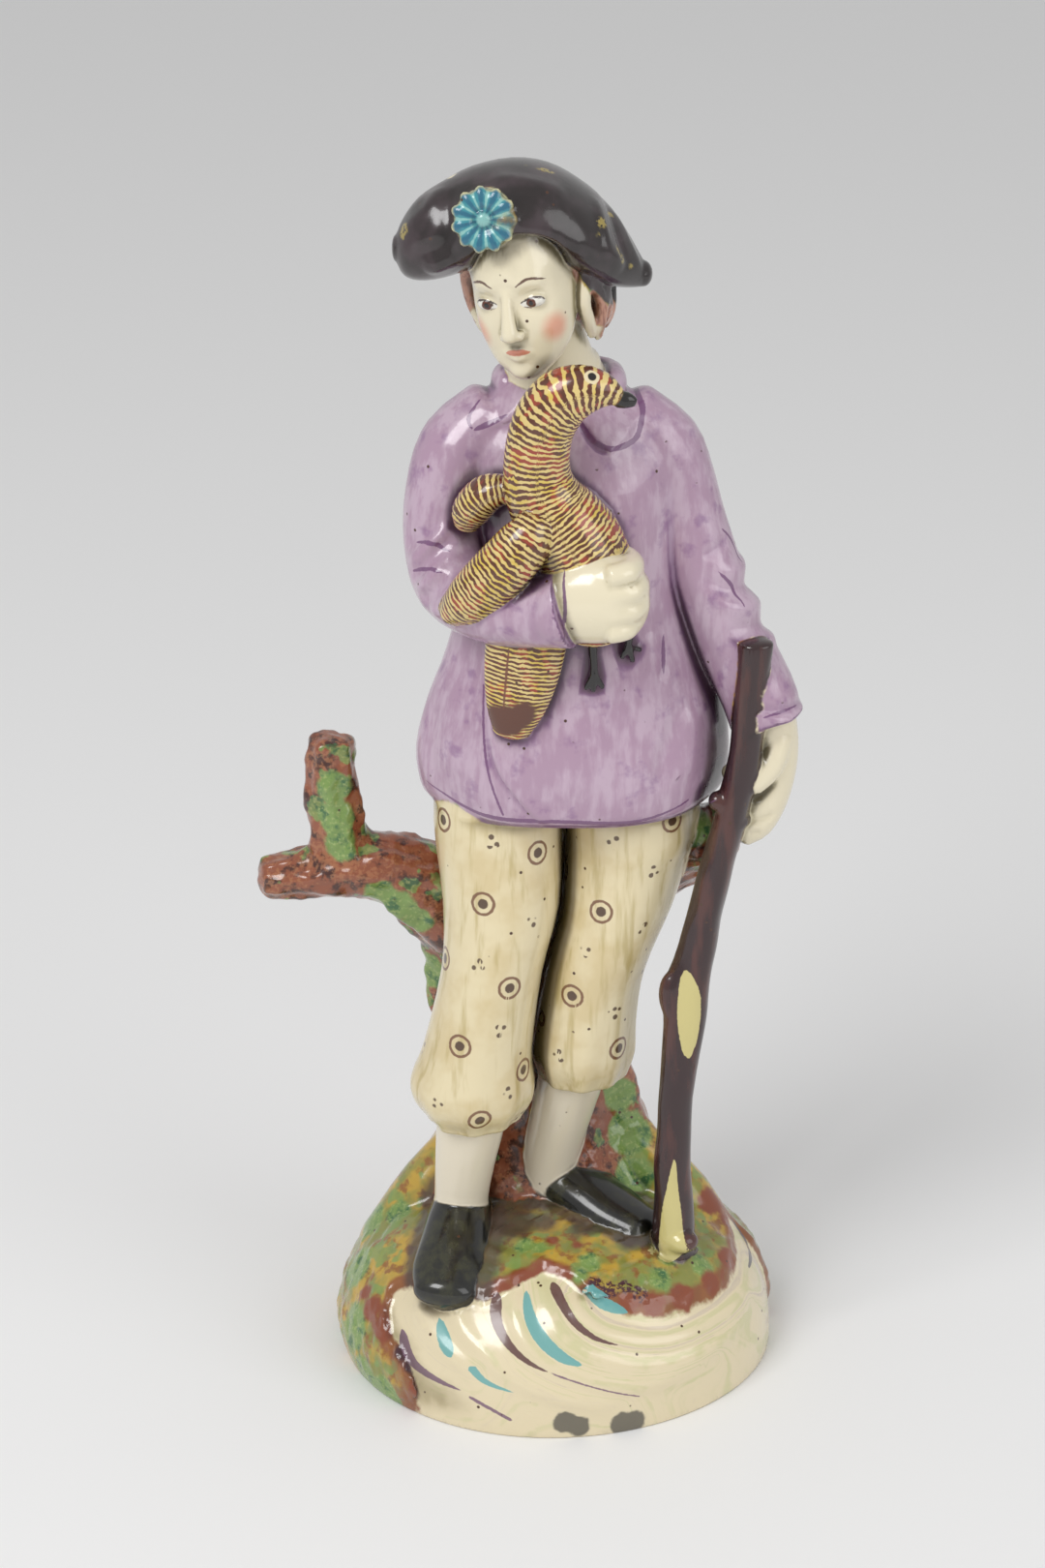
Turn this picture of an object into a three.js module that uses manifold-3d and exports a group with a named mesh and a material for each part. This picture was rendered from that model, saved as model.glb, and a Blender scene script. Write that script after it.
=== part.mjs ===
// A pearlware figure, about 230 mm tall, pressed, joined with slip and fired as one piece.
// A countryman in a cocked hat, jacket and knee breeches stands on a mound before a tree stump.
// He has a bird under one arm and leans his other hand on a rough staff.
// Millimetres, +Z up, the figure looks along -Y, the origin is the centre of the underside.

import * as THREE from "three";
import { mergeVertices } from "three/addons/utils/BufferGeometryUtils.js";
import Module from "manifold-3d";

// Driving dimensions
const HEIGHT = 230; // underside to the top of the hat
const BASE_WIDTH = 81.5;
const BASE_DEPTH = 74;
const MOUND_TOP = 28.5; // where he stands
const MOUND_ROUND = 2.6; // exponent of the mound's profile, 2 being a plain dome
const HEM = 114; // lower edge of the jacket
const SHOULDER = 182;
const EYE_LEVEL = 210;
const HEAD_TALL = 29; // chin to crown
const HEAD_TURN = -20; // degrees, towards the viewer's left
const HEAD_NOD = 9; // degrees, downwards
const HEAD_LEAN = -9; // degrees, the crown towards the viewer's left
const STAFF_RADIUS = 3.1;
const RIDGES = 5; // ridges in the running water
const PETALS = 10; // of the rosette

const ACROSS = new THREE.Vector3(1, 0, 0);
const BACK = new THREE.Vector3(0, 1, 0);
const UP = new THREE.Vector3(0, 0, 1);

const wasm = await Module();
wasm.setup();

// A closed mesh as a solid.
function solid(geometry) {
  const bare = geometry.clone().deleteAttribute("normal").deleteAttribute("uv");
  const merged = mergeVertices(bare, 1e-4);
  return new wasm.Manifold(
    new wasm.Mesh({
      numProp: 3,
      vertProperties: merged.attributes.position.array,
      triVerts: new Uint32Array(merged.index.array),
    }),
  );
}

// Rows of numbers, filled in between by a Catmull-Rom curve.
function between(rows, steps) {
  const filled = [];
  const last = rows.length - 1;
  for (let i = 0; i < last; i++) {
    const near = [Math.max(i - 1, 0), i, i + 1, Math.min(i + 2, last)].map((k) => rows[k]);
    for (let s = 0; s < steps; s++) {
      const t = s / steps;
      filled.push(
        rows[i].map((_, n) => {
          const [a, b, c, d] = near.map((row) => row[n]);
          return b + 0.5 * t * (c - a + t * (2 * a - 5 * b + 4 * c - d + t * (3 * (b - c) + d - a)));
        }),
      );
    }
  }
  filled.push(rows[last]);
  return filled;
}

// A body of oval sections along a path. A row is [x, y, z, radius, radius]: the first radius lies along
// `side` and the second square to it. The sections are square to the path, or to `along` where that is
// given. `round` is how far each end bulges, and `fold(angle, share)` swells or pinches a section.
function limb(rows, { side = ACROSS, along, sides = 10, steps = 1, round = [0, 0.5], fold } = {}) {
  const path = between(rows, steps);
  const centres = path.map(([x, y, z]) => new THREE.Vector3(x, y, z));
  const last = path.length - 1;
  const forward = (i) => centres[Math.min(i + 1, last)].clone().sub(centres[Math.max(i - 1, 0)]).normalize();
  const facing = along && forward(0).dot(along) < 0 ? along.clone().negate() : along;
  const tangents = centres.map((_, i) => facing ?? forward(i));
  const rings = path.map((row, i) => ({ at: centres[i], normal: tangents[i], a: row[3], b: row[4], share: i / last }));
  const cap = (i, sign, amount) => {
    const reach = sign * amount * Math.min(path[i][3], path[i][4]);
    const inner = { ...rings[i], a: path[i][3] * 0.77, b: path[i][4] * 0.77 };
    inner.at = centres[i].clone().addScaledVector(tangents[i], reach * 0.64);
    return { inner, tip: centres[i].clone().addScaledVector(tangents[i], reach) };
  };
  const [low, high] = [cap(0, -1, round[0]), cap(last, 1, round[1])];
  const all = [...(round[0] ? [low.inner] : []), ...rings, ...(round[1] ? [high.inner] : [])];

  const points = [];
  for (const { at, normal, a, b, share } of all) {
    const u = side.clone().addScaledVector(normal, -side.dot(normal)).normalize();
    const v = normal.clone().cross(u);
    for (let k = 0; k < sides; k++) {
      const angle = (k / sides) * 2 * Math.PI;
      const swell = fold ? fold(angle, share) : 1;
      const p = at.clone().addScaledVector(u, a * swell * Math.cos(angle));
      points.push(p.addScaledVector(v, b * swell * Math.sin(angle)));
    }
  }
  points.push(low.tip, high.tip);

  const faces = [];
  const at = (ring, k) => ring * sides + (k % sides);
  const [start, end] = [points.length - 2, points.length - 1];
  for (let k = 0; k < sides; k++) {
    faces.push(start, at(0, k + 1), at(0, k));
    faces.push(end, at(all.length - 1, k), at(all.length - 1, k + 1));
    for (let r = 0; r + 1 < all.length; r++) {
      faces.push(at(r, k), at(r, k + 1), at(r + 1, k + 1));
      faces.push(at(r, k), at(r + 1, k + 1), at(r + 1, k));
    }
  }
  const geometry = new THREE.BufferGeometry().setFromPoints(points);
  geometry.setIndex(faces);
  return solid(geometry);
}

// An oval lump.
function lump([x, y, z], [a, b, c], across = 8) {
  const geometry = new THREE.SphereGeometry(1, across, Math.round(across * 0.7));
  return solid(geometry.scale(a, b, c).translate(x, y, z));
}

const join = (parts) => parts.reduce((whole, part) => whole.add(part));

// The mound's profile: its height where a point lies at this share of the way out to the rim.
const swellOf = (share) => MOUND_TOP * Math.max(1 - share ** MOUND_ROUND, 0) ** (1 / MOUND_ROUND);

// A point on the mound, by its turn in degrees from the viewer's right and its share of the way out.
function onMound(degrees, share, lift = 0) {
  const turn = THREE.MathUtils.degToRad(degrees);
  const x = (BASE_WIDTH / 2) * share * Math.cos(turn);
  const y = (BASE_DEPTH / 2) * share * Math.sin(turn);
  return [x, y, swellOf(share) + lift];
}

// The mound with its grassy bank in front and higher shore on the left.
function mound() {
  const [a, b] = [BASE_WIDTH / 2, BASE_DEPTH / 2];
  const shares = [0.985, 0.94, 0.85, 0.7, 0.45];
  const island = limb(
    [[0, 0, 0, a * 0.985, b * 0.985], [0, 0, 2.5, a, b], ...shares.map((s) => [0, 0, swellOf(s), a * s, b * s])],
    { along: UP, sides: 28, round: [0, 0.01], fold: (angle) => 1 + 0.01 * Math.sin(3 * angle + 1) },
  );
  const bankTurns = [-128, -116, -100, -86, -70, -54, -36, -16, 6];
  const bankShares = [0.72, 0.62, 0.55, 0.62, 0.68, 0.71, 0.73, 0.76, 0.78];
  const bank = limb(
    bankTurns.map((turn, i) => [...onMound(turn, bankShares[i], -0.6), 4, 2.6]),
    { side: UP, sides: 6 },
  );
  const shoreTurns = [-112, -126, -140, -154, -168, -186];
  const shore = limb(
    shoreTurns.map((turn, i) => [...onMound(turn, 0.965 - 0.028 * i, -0.8), 3.4, 2.8]),
    { side: UP, sides: 6 },
  );
  const roots = [
    [[-15, 12, 37, 5, 5], [-24, 9, 27.5, 5.5, 6], [-31, 6, 16.5, 6, 7]],
    [[14, 11, 36, 5, 5], [24, 7, 25.5, 6, 6], [31, 3, 16, 6, 7]],
  ].map((rows) => limb(rows, { sides: 6 }));
  return join([island, bank, shore, ...roots]);
}

// Ridges of water that leave the bank, curl outwards and run round the front of the mound.
function water() {
  const ridges = [];
  const steps = 5;
  for (let i = 0; i < RIDGES; i++) {
    const [from, to] = [-128 + 12 * i, -84 + 19 * i];
    const rows = [];
    for (let k = 0; k <= steps; k++) {
      const t = k / steps;
      const out = 0.7 + (0.985 - 0.012 * i - 0.7) * (1 - (1 - t) ** 2.4);
      const radius = 0.5 + 1 * Math.sin(Math.PI * t) ** 0.6;
      rows.push([...onMound(from + (to - from) * t ** 1.6, out, -0.1), radius, radius]);
    }
    ridges.push(limb(rows, { side: UP, sides: 5 }));
  }
  return join(ridges);
}

// The stump that props the figure from behind, with a forked branch on the left and a stub on the right.
function stump() {
  const bark = (angle, share) => 1 + 0.05 * Math.sin(5 * angle + 6 * share) + 0.03 * Math.sin(9 * angle - 4 * share);
  const trunk = limb(
    [
      [-2, 9, 18, 28, 19],
      [-2, 11, 27, 24, 15.5],
      [-2.5, 13.5, 38, 20, 12],
      [-4, 14, 52, 18, 9.5],
      [-4.4, 14, 69, 19, 9.2],
      [-2, 12.5, 88, 21, 10],
      [0, 11, 100, 19, 10],
      [1, 9, HEM + 2, 17, 9],
    ],
    { along: UP, sides: 16, round: [0, 0], fold: bark },
  );
  const fork = limb(
    [
      [-12, 12, 80, 9, 12],
      [-23, 10.5, 89, 8, 9.5],
      [-31.5, 9, 94.5, 7, 7],
      [-39, 8, 95, 6, 5.8],
      [-46.5, 7.5, 93.5, 4.6, 4.4],
      [-52, 7, 93, 3.9, 3.8],
    ],
    { side: BACK, sides: 10, fold: bark },
  );
  const prong = limb(
    [
      [-38.5, 8.5, 94, 6.5, 6],
      [-40, 8, 102, 5.3, 5.2],
      [-40.8, 8, 111, 4.8, 4.6],
      [-40.8, 8, 118.5, 4.1, 4],
    ],
    { sides: 10, fold: bark },
  );
  const stub = limb(
    [
      [8, 13, 82, 8, 9],
      [17, 9.5, 91.5, 8, 8],
      [24.5, 4, 100.5, 7.2, 7],
      [28.5, -1.5, 105, 6.2, 6.2],
    ],
    { side: BACK, sides: 10, fold: bark },
  );
  return join([trunk, fork, prong, stub]);
}

// Breeches gathered below the knee, stocking and shoe of one leg.
function leg({ breeches, stocking, shoe, toes }) {
  const gathers = (angle, share) => 1 + 0.04 * share ** 4 * Math.sin(7 * angle) + 0.02 * share * Math.sin(3 * angle + 2);
  return join([
    limb(breeches, { along: UP, sides: 14, round: [0, 0.2], fold: gathers }),
    limb(stocking, { along: UP, round: [0, 0] }),
    limb(shoe, { side: toes, round: [0.5, 0.6] }),
  ]);
}

const rightLeg = {
  breeches: [
    [-9.5, -1, HEM + 6, 12, 12.5],
    [-10.6, -2, HEM - 5, 11.7, 12.2],
    [-10.1, -5, 94, 10.6, 11.2],
    [-11.8, -7.6, 81.5, 9.2, 10],
    [-14.5, -8, 66, 10, 10.2],
    [-15.2, -8, 59.5, 11.1, 10.9],
    [-15.2, -8, 55.5, 10.6, 10.4],
    [-15.2, -7.6, 52, 8.6, 8.6],
  ],
  stocking: [
    [-15.4, -6.6, 56, 6.8, 7],
    [-15.9, -6.2, 48, 6.3, 6.5],
    [-16.9, -5.4, 40, 5.6, 5.8],
    [-17.6, -4.8, 33, 5.1, 5.4],
    [-17.9, -4.4, 27, 5.2, 5.6],
  ],
  shoe: [
    [-17.6, 0.5, 28, 5, 4.6],
    [-18, -6, 28.4, 5.9, 5.8],
    [-18.8, -13, 26.6, 6.5, 5],
    [-19.8, -19, 24.4, 6.9, 4.3],
    [-20.6, -23.5, 22.9, 5.8, 3.5],
  ],
  toes: ACROSS,
};

const leftLeg = {
  breeches: [
    [12.5, 0.5, HEM + 6, 12, 12.5],
    [13.7, 0, HEM - 7, 12.2, 12],
    [12.6, 0, 101, 11.3, 11.4],
    [10.9, -1, 92, 10.2, 10.8],
    [8, -2, 83, 9.4, 10],
    [6.4, -2.2, 76.5, 9.1, 9.5],
    [5.3, -2, 68.5, 9.3, 9.6],
    [4.9, -1.6, 62, 9.5, 9.6],
    [4.8, -1.2, 57.5, 8.2, 8.4],
  ],
  stocking: [
    [4, 0, 61, 6.6, 6.8],
    [2.8, 1, 54, 6.2, 6.4],
    [1.2, 2, 46.3, 5.7, 6],
    [-0.6, 3, 38, 5.4, 5.6],
    [-1.2, 3.6, 31, 5.2, 5.6],
  ],
  shoe: [
    [-3.8, 8.2, 31, 4.2, 4.4],
    [-0.6, 5, 32, 5.2, 5.2],
    [5, 0.6, 31, 5.6, 4.8],
    [11, -3.6, 29.4, 5.8, 4.2],
    [15.2, -6.8, 28.4, 4.8, 3.6],
  ],
  toes: new THREE.Vector3(0.62, 0.78, 0),
};

// The jacket's sections from the hem up, flared below the waist.
const jacketRows = [
  [2.8, 0, HEM, 25.4, 17.4],
  [2.8, 0, HEM + 2.2, 26.8, 18.4],
  [2.8, 0, HEM + 9, 27.6, 18.8],
  [3.2, 0, HEM + 18, 26, 17.6],
  [3.3, 0, HEM + 28, 22.6, 15.8],
  [2.7, 0, HEM + 41, 19.4, 14.8],
  [1.8, 0, HEM + 57, 19.6, 14.6],
  [1.3, 0.6, SHOULDER - 3, 20, 13],
  [0.6, 1.2, SHOULDER + 3, 16.5, 10.5],
  [-0.4, 1.2, SHOULDER + 7.5, 11, 8.4],
  [-0.9, 1, SHOULDER + 11, 8, 7],
];

// The point on the jacket's front at this x and height.
function onJacket(x, z, lift = 0) {
  const above = jacketRows.findIndex((row) => row[2] >= z);
  const [low, high] = [jacketRows[above - 1], jacketRows[above]];
  const t = (z - low[2]) / (high[2] - low[2]);
  const [cx, cy, , a, b] = low.map((value, i) => value + t * (high[i] - value));
  const out = Math.sqrt(Math.max(1 - ((x - cx) / a) ** 2, 0));
  return [x, cy - b * out - lift, z];
}

// The jacket with folds that deepen towards the hem, its turned-down lapels and collar.
function jacket() {
  const folds = (angle, share) => {
    const low = (1 - share) ** 2;
    return 1 + low * (0.024 * Math.sin(6 * angle + 1.2) + 0.01 * Math.sin(8 * angle));
  };
  const body = limb(jacketRows, { along: UP, sides: 24, round: [0, 0], fold: folds });
  const lapels = [
    [[-5.5, 191.5, 2.4], [-9.5, 188.4, 3.4], [-11.6, 184.6, 2.6], [-10.4, 182, 1]],
    [[5.5, 191.5, 2.6], [9.5, 187.8, 4], [11.6, 183.6, 4], [10.4, 179.6, 1.6]],
  ].map((points) =>
    limb(points.map(([x, z, wide]) => [...onJacket(x, z, 0.2), wide, 1.1]), { sides: 6, round: [0, 0.4] }),
  );
  const collar = limb(
    [
      [-8.6, -2, 190, 2.6, 2],
      [-9.6, 3, 190, 2.8, 2],
      [-5, 9, 189.5, 2.8, 2],
      [2, 9.8, 189.5, 2.8, 2],
      [8, 6, 190, 2.8, 2],
      [8, -1, 190, 2.6, 2],
    ],
    { side: UP, sides: 5, round: [0, 0] },
  );
  return join([body, ...lapels, collar]);
}

// Ridges of cloth at a bent or hanging sleeve, each swelling in the middle of its run.
const creases = (runs) =>
  runs.map(([from, crest, to]) => limb([[...from, 0.6, 0.6], [...crest, 1.7, 1.7], [...to, 0.6, 0.6]], { sides: 5 }));

// The arm bent across the chest, with its fist.
function rightArm() {
  const sleeve = limb(
    [
      [-11, 0.5, SHOULDER + 1.5, 7.5, 7.5],
      [-16.8, -0.8, SHOULDER - 3.5, 8.4, 8.4],
      [-19.2, -2.4, 171, 8.2, 8.4],
      [-19.8, -5, 163.5, 7.7, 8.2],
      [-18, -9.8, 157.4, 7.2, 7.6],
      [-12.5, -15.5, 154.8, 6.8, 7],
      [-6, -19.4, 155.6, 6.4, 6.8],
      [-0.6, -21.8, 157, 6.6, 7.2],
      [1.2, -22.4, 157.6, 7, 7.6],
    ],
    { sides: 10, round: [0, 0.1] },
  );
  const folds = creases([
    [[-26, -6, 160], [-22, -12, 160.5], [-16, -15.6, 162]],
    [[-24, -9, 154.5], [-19, -14.6, 152.5], [-12, -18, 150]],
    [[-26.6, -4, 166], [-23.5, -10.4, 166.5], [-18, -13, 168]],
  ]);
  const fist = limb(
    [
      [0, -22.4, 157.4, 4.6, 6.4],
      [4, -23.6, 158.8, 4.6, 7.1],
      [9, -23.8, 160, 4.8, 7.4],
      [12.4, -21.6, 160.2, 4.2, 6.6],
    ],
    { side: BACK },
  );
  const fingers = [5.4, 1.8, -1.8, -5.4].map((up) =>
    limb(
      [
        [8, -26.8, 160 + up, 1.9, 1.9],
        [12.6, -25.6, 160.2 + up, 2.1, 2],
        [14.9, -21.8, 160.2 + up, 2, 1.9],
        [14, -17, 160.2 + up, 1.6, 1.6],
      ],
      { side: UP, sides: 6, round: [0, 0] },
    ),
  );
  return join([sleeve, ...folds, fist, ...fingers]);
}

// The arm that hangs to the staff, with its cuff and hand.
function leftArm() {
  const sleeve = limb(
    [
      [12, 1, SHOULDER + 1.5, 7, 7.2],
      [17.6, 0.8, SHOULDER - 3.5, 8, 8],
      [20.2, 0.6, 173, 7.2, 7.6],
      [22, 0, 166, 6.8, 7.4],
      [23.8, -1, 159, 6.6, 7.2],
      [26.6, -2.2, 152, 6.4, 7],
      [30.4, -3.6, 144, 6.4, 6.8],
      [34.8, -5.2, 135.6, 6.5, 6.7],
      [36.8, -6, 130.4, 6.4, 6.6],
    ],
    { sides: 10, round: [0, 0.1] },
  );
  const folds = creases([
    [[28.6, -2, 163.5], [25, -8.2, 161.5], [19.6, -8.8, 159.6]],
    [[31.2, -3, 156.6], [27, -9.6, 154], [22.4, -8.8, 151]],
    [[35, -4, 149], [30.6, -10.8, 147.4], [26, -9.6, 144]],
  ]);
  const palm = limb(
    [
      [37.2, -5.4, 131.5, 4.4, 4.6],
      [38.2, -5, 125.5, 4.8, 3.8],
      [38, -5.4, 119.5, 4.9, 3.8],
      [35.6, -7, 114, 3.6, 3.4],
    ],
    { sides: 8 },
  );
  const thumb = limb([[38.6, -8.2, 126, 1.9, 1.8], [37.6, -10.6, 121.5, 1.9, 1.8], [35.4, -12.4, 117.8, 1.6, 1.5]], {
    sides: 6,
  });
  const fingers = [0, 1, 2, 3].map((n) =>
    limb(
      [
        [36.4, -5.4, 122.6 - 3 * n, 1.9, 1.7],
        [31.4, -5.6, 122.4 - 3.1 * n, 1.8, 1.6],
        [28.4, -8, 122 - 3.1 * n, 1.6, 1.5],
      ],
      { side: UP, sides: 5 },
    ),
  );
  return join([sleeve, ...folds, palm, thumb, ...fingers]);
}

// The rough staff, knotted at mid height, from the mound up past the hand.
function staff() {
  const r = STAFF_RADIUS;
  const stick = limb(
    [
      [22, -12.4, MOUND_TOP - 8, r + 1.2, r + 1],
      [21.8, -12.4, 32, r + 0.7, r + 0.5],
      [21.3, -12.6, 43, r + 0.3, r],
      [21.8, -12.6, 58, r, r],
      [23.2, -12.4, 73, r + 0.7, r + 0.4],
      [23.8, -12.2, 81, r + 1, r + 0.5],
      [25.4, -12, 88.5, r + 0.3, r],
      [28.6, -11.6, 104.5, r - 0.1, r],
      [32.4, -10.8, 121, r - 0.1, r - 0.1],
      [33.4, -10.2, 132, r - 0.3, r - 0.3],
      [34.4, -9.4, 145.8, r - 0.1, r - 0.1],
    ],
    { along: UP, sides: 8, round: [0, 0], fold: (angle, share) => 1 + 0.05 * Math.sin(3 * angle + 9 * share) },
  );
  return join([stick, lump([20.4, -13, 79], [2, 2, 4.2], 6)]);
}

// The bird: head, neck and breast in one sweep, two wings, legs, and a tail below the sleeve.
function bird() {
  const breast = limb(
    [
      [8.8, -20.5, 196.6, 1.6, 1.7],
      [6.2, -20.5, 197.4, 3.2, 3.4],
      [1.8, -20.2, 197.4, 3.8, 4],
      [-2.4, -19.5, 194.4, 4.3, 4.4],
      [-4.7, -18.8, 188.8, 4.5, 4.6],
      [-5.1, -18, 182.4, 4.5, 4.8],
      [-3.4, -17.6, 177.2, 5.9, 6],
      [0.4, -17.4, 172, 7.8, 7.4],
      [3.8, -17.2, 166, 8.5, 8],
      [5.8, -16.8, 158.5, 8.3, 7.4],
      [5.4, -16.6, 151.6, 6, 5.4],
    ],
    { side: BACK, sides: 12 },
  );
  const bill = limb([[8.8, -20.6, 196.6, 1.8, 1.8], [11, -20.9, 195.8, 1.3, 1.3], [12.4, -21, 194.9, 0.5, 0.5]], {
    side: BACK,
    sides: 6,
  });
  const nearWing = limb(
    [
      [-2.8, -21, 175, 3.8, 3.2],
      [-5.2, -22.6, 171.4, 5, 4.2],
      [-9.2, -22.6, 167, 5.4, 4.6],
      [-13, -21.4, 162.4, 4.9, 4.4],
      [-16.2, -19.4, 158, 3.8, 3.8],
      [-18.4, -17.4, 155.4, 2.2, 2.4],
    ],
    { side: new THREE.Vector3(0.7, 0, -0.7), sides: 8, round: [0.5, 0.5] },
  );
  const farWing = limb([[-8.5, -15.5, 179.6, 2.6, 2.4], [-12, -14, 178, 3.6, 3.2], [-15.4, -12.4, 173.4, 2.8, 2.8]], {
    side: BACK,
    sides: 8,
  });
  const tail = limb(
    [
      [-3.4, -16, 156, 6.6, 4.4],
      [-5.4, -17.4, 148.6, 7, 3.6],
      [-6.2, -18, 142.6, 6.6, 3],
      [-7, -18.6, 137, 4.6, 2.4],
    ],
    { sides: 8 },
  );
  const legs = [
    [[5.8, -16.6, 151, 1.1, 1.1], [6.1, -17.8, 145, 0.8, 0.8], [6.2, -18.8, 141.6, 1.9, 0.6]],
    [[11.6, -16.4, 153.4, 1.1, 1.1], [12.4, -17, 150, 0.8, 0.8], [12.9, -17.6, 147, 1.7, 0.6]],
  ].map((rows) => limb(rows, { sides: 5, round: [0, 0] }));
  return join([breast, bill, nearWing, farWing, tail, ...legs]);
}

// Head, face and hair, made upright about eye level and then turned as one.
function head() {
  const h = HEAD_TALL;
  const face = limb(
    [
      [0, -8.6, -0.455 * h, 0.1 * h, 0.07 * h],
      [0, -6.8, -0.38 * h, 0.2 * h, 0.15 * h],
      [0, -4.6, -0.27 * h, 0.27 * h, 0.24 * h],
      [0, -3.2, -0.1 * h, 0.3 * h, 0.31 * h],
      [0, -2.6, 0.04 * h, 0.31 * h, 0.32 * h],
      [0, -2.6, 0.2 * h, 0.29 * h, 0.32 * h],
    ],
    { along: UP, sides: 14, round: [0.5, 0] },
  );
  const nose = limb(
    [
      [0, -11.4, 0.05 * h, 0.9, 1],
      [0, -12.8, -0.08 * h, 1.2, 1.4],
      [0, -13.6, -0.16 * h, 1.8, 1.5],
    ],
    { along: UP, sides: 6 },
  );
  const lips = lump([0, -11, -0.29 * h], [2.4, 1.2, 1.1], 6);
    const hair = limb(
    [
      [0, 5.2, -0.3 * h, 0.24 * h, 0.2 * h],
      [0, 4.4, -0.12 * h, 0.39 * h, 0.31 * h],
      [0, 3.8, 0.04 * h, 0.4 * h, 0.36 * h],
      [0, 2.6, 0.24 * h, 0.38 * h, 0.38 * h],
    ],
    { along: UP, round: [0.5, 0] },
  );
  const curls = [-1, 1].map((way) => lump([way * 11.2, 2.8, -0.09 * h], [2.8, 4.2, 4.2], 8));
  const turned = join([face, nose, lips, hair, ...curls])
    .rotate([HEAD_NOD, 0, 0])
    .rotate([0, HEAD_LEAN, HEAD_TURN]);
  const neck = limb(
    [
      [-0.4, 1, 185, 9, 8.6],
      [-1, 0.2, 191.6, 8.7, 8.3],
      [-1.8, -0.4, 194.4, 7.3, 7.1],
      [-4, -1, 203, 6.6, 6.8],
    ],
    { round: [0, 0] },
  );
  return join([turned.translate([-4.9, -3.2, EYE_LEVEL]), neck]);
}

// The cocked hat: a brim turned up close before and behind, coming to a lobe and a point, and a rosette.
function hat() {
  const top = HEIGHT;
  const brim = limb(
    [
      [-27.4, -5, top - 14.4, 2, 2.4],
      [-26.2, -5, top - 14.2, 4.2, 4.8],
      [-23.6, -5, top - 13.2, 6.4, 6.6],
      [-19.6, -4.6, top - 11.8, 9, 7.6],
      [-14.6, -4, top - 9.6, 11.4, 8],
      [-8, -3.5, top - 7.4, 12.8, 7.5],
      [-2, -3, top - 7.6, 12.8, 7.5],
      [3.2, -2.4, top - 10.6, 11.6, 7.8],
      [7.8, -1.6, top - 14.2, 9, 7.2],
      [11.4, -0.6, top - 17.4, 6, 5],
      [14.4, 0.4, top - 20.4, 2.6, 2.2],
    ],
    { side: BACK, along: ACROSS, sides: 14, round: [0.3, 0.6] },
  );
  const out = new THREE.Vector3(-0.1, -0.97, 0.2);
  const rosette = limb(
    [
      [-12.4, -13, top - 7, 5.2, 5.2],
      [-12.6, -15.6, top - 6.5, 5.7, 5.7],
    ],
    { along: out, sides: 2 * PETALS, round: [0, 0.08], fold: (angle) => 1 + 0.05 * Math.cos(PETALS * angle) },
  );
  return join([brim, rosette, lump([-12.7, -15.9, top - 6.4], [1.6, 1.2, 1.6], 6)]);
}

const form = join([
  mound(),
  water(),
  stump(),
  leg(rightLeg),
  leg(leftLeg),
  jacket(),
  rightArm(),
  leftArm(),
  staff(),
  bird(),
  head(),
  hat(),
]);

const glaze = new THREE.MeshStandardMaterial({ color: 0xd9cda6, roughness: 0.25, metalness: 0 });

// A solid back as a mesh of its own.
function mesh(name, shape, material) {
  const { vertProperties, triVerts } = shape.getMesh();
  const geometry = new THREE.BufferGeometry();
  geometry.setAttribute("position", new THREE.BufferAttribute(vertProperties, 3));
  geometry.setIndex(new THREE.BufferAttribute(triVerts, 1));
  geometry.computeVertexNormals();
  const made = new THREE.Mesh(geometry, material);
  made.name = name;
  return made;
}

const part = new THREE.Group();
part.add(mesh("figure", form, glaze));

export default part;
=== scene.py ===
import math

import bpy
import numpy as np
import openvdb
from mathutils import Matrix, Vector
from mathutils.bvhtree import BVHTree


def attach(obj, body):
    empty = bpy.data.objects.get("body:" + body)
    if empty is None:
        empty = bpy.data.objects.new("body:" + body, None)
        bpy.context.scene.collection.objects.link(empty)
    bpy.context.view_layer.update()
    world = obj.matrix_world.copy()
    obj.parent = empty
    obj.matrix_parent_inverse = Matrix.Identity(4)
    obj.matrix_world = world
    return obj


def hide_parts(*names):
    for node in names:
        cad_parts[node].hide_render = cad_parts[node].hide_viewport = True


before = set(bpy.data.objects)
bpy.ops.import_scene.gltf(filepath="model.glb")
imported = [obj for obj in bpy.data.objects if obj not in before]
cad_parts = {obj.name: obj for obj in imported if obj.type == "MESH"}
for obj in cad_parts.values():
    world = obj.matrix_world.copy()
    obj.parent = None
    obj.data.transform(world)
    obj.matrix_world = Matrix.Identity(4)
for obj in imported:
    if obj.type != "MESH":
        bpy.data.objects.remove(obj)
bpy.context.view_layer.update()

# Lengths here are millimetres, as in the solid; the mesh is brought to metres when it is made
metre = 0.001

figure = {
    "height": 230.0,
    "hem": 114.0,  # lower edge of the jacket
    "shoulder": 182.0,
    "eyeLevel": 210.0,
    "headTall": 29.0,  # chin to crown
    "headTurn": -20.0,  # degrees, towards the viewer's left
    "headNod": 9.0,
    "headLean": -9.0,
    "cell": 0.36,  # size of the small cubes that the form is worked out on
    "quickCell": 0.72,
    "coarse": 1.44,  # and of the large ones that first find where the skin is
    "triangles": 196000,
}

camera = {
    "place": (-6.2, -639.5, 399.4),
    "target": (-6.2, 0.0, 114.7),
    "lens": 89.33,
    "film": 36.0,
    "picture": (1080, 1620),
}

across, back, up = Vector((1, 0, 0)), Vector((0, 1, 0)), Vector((0, 0, 1))
hem, shoulder, top = figure["hem"], figure["shoulder"], figure["height"]


# Nodes written as expressions

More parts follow.
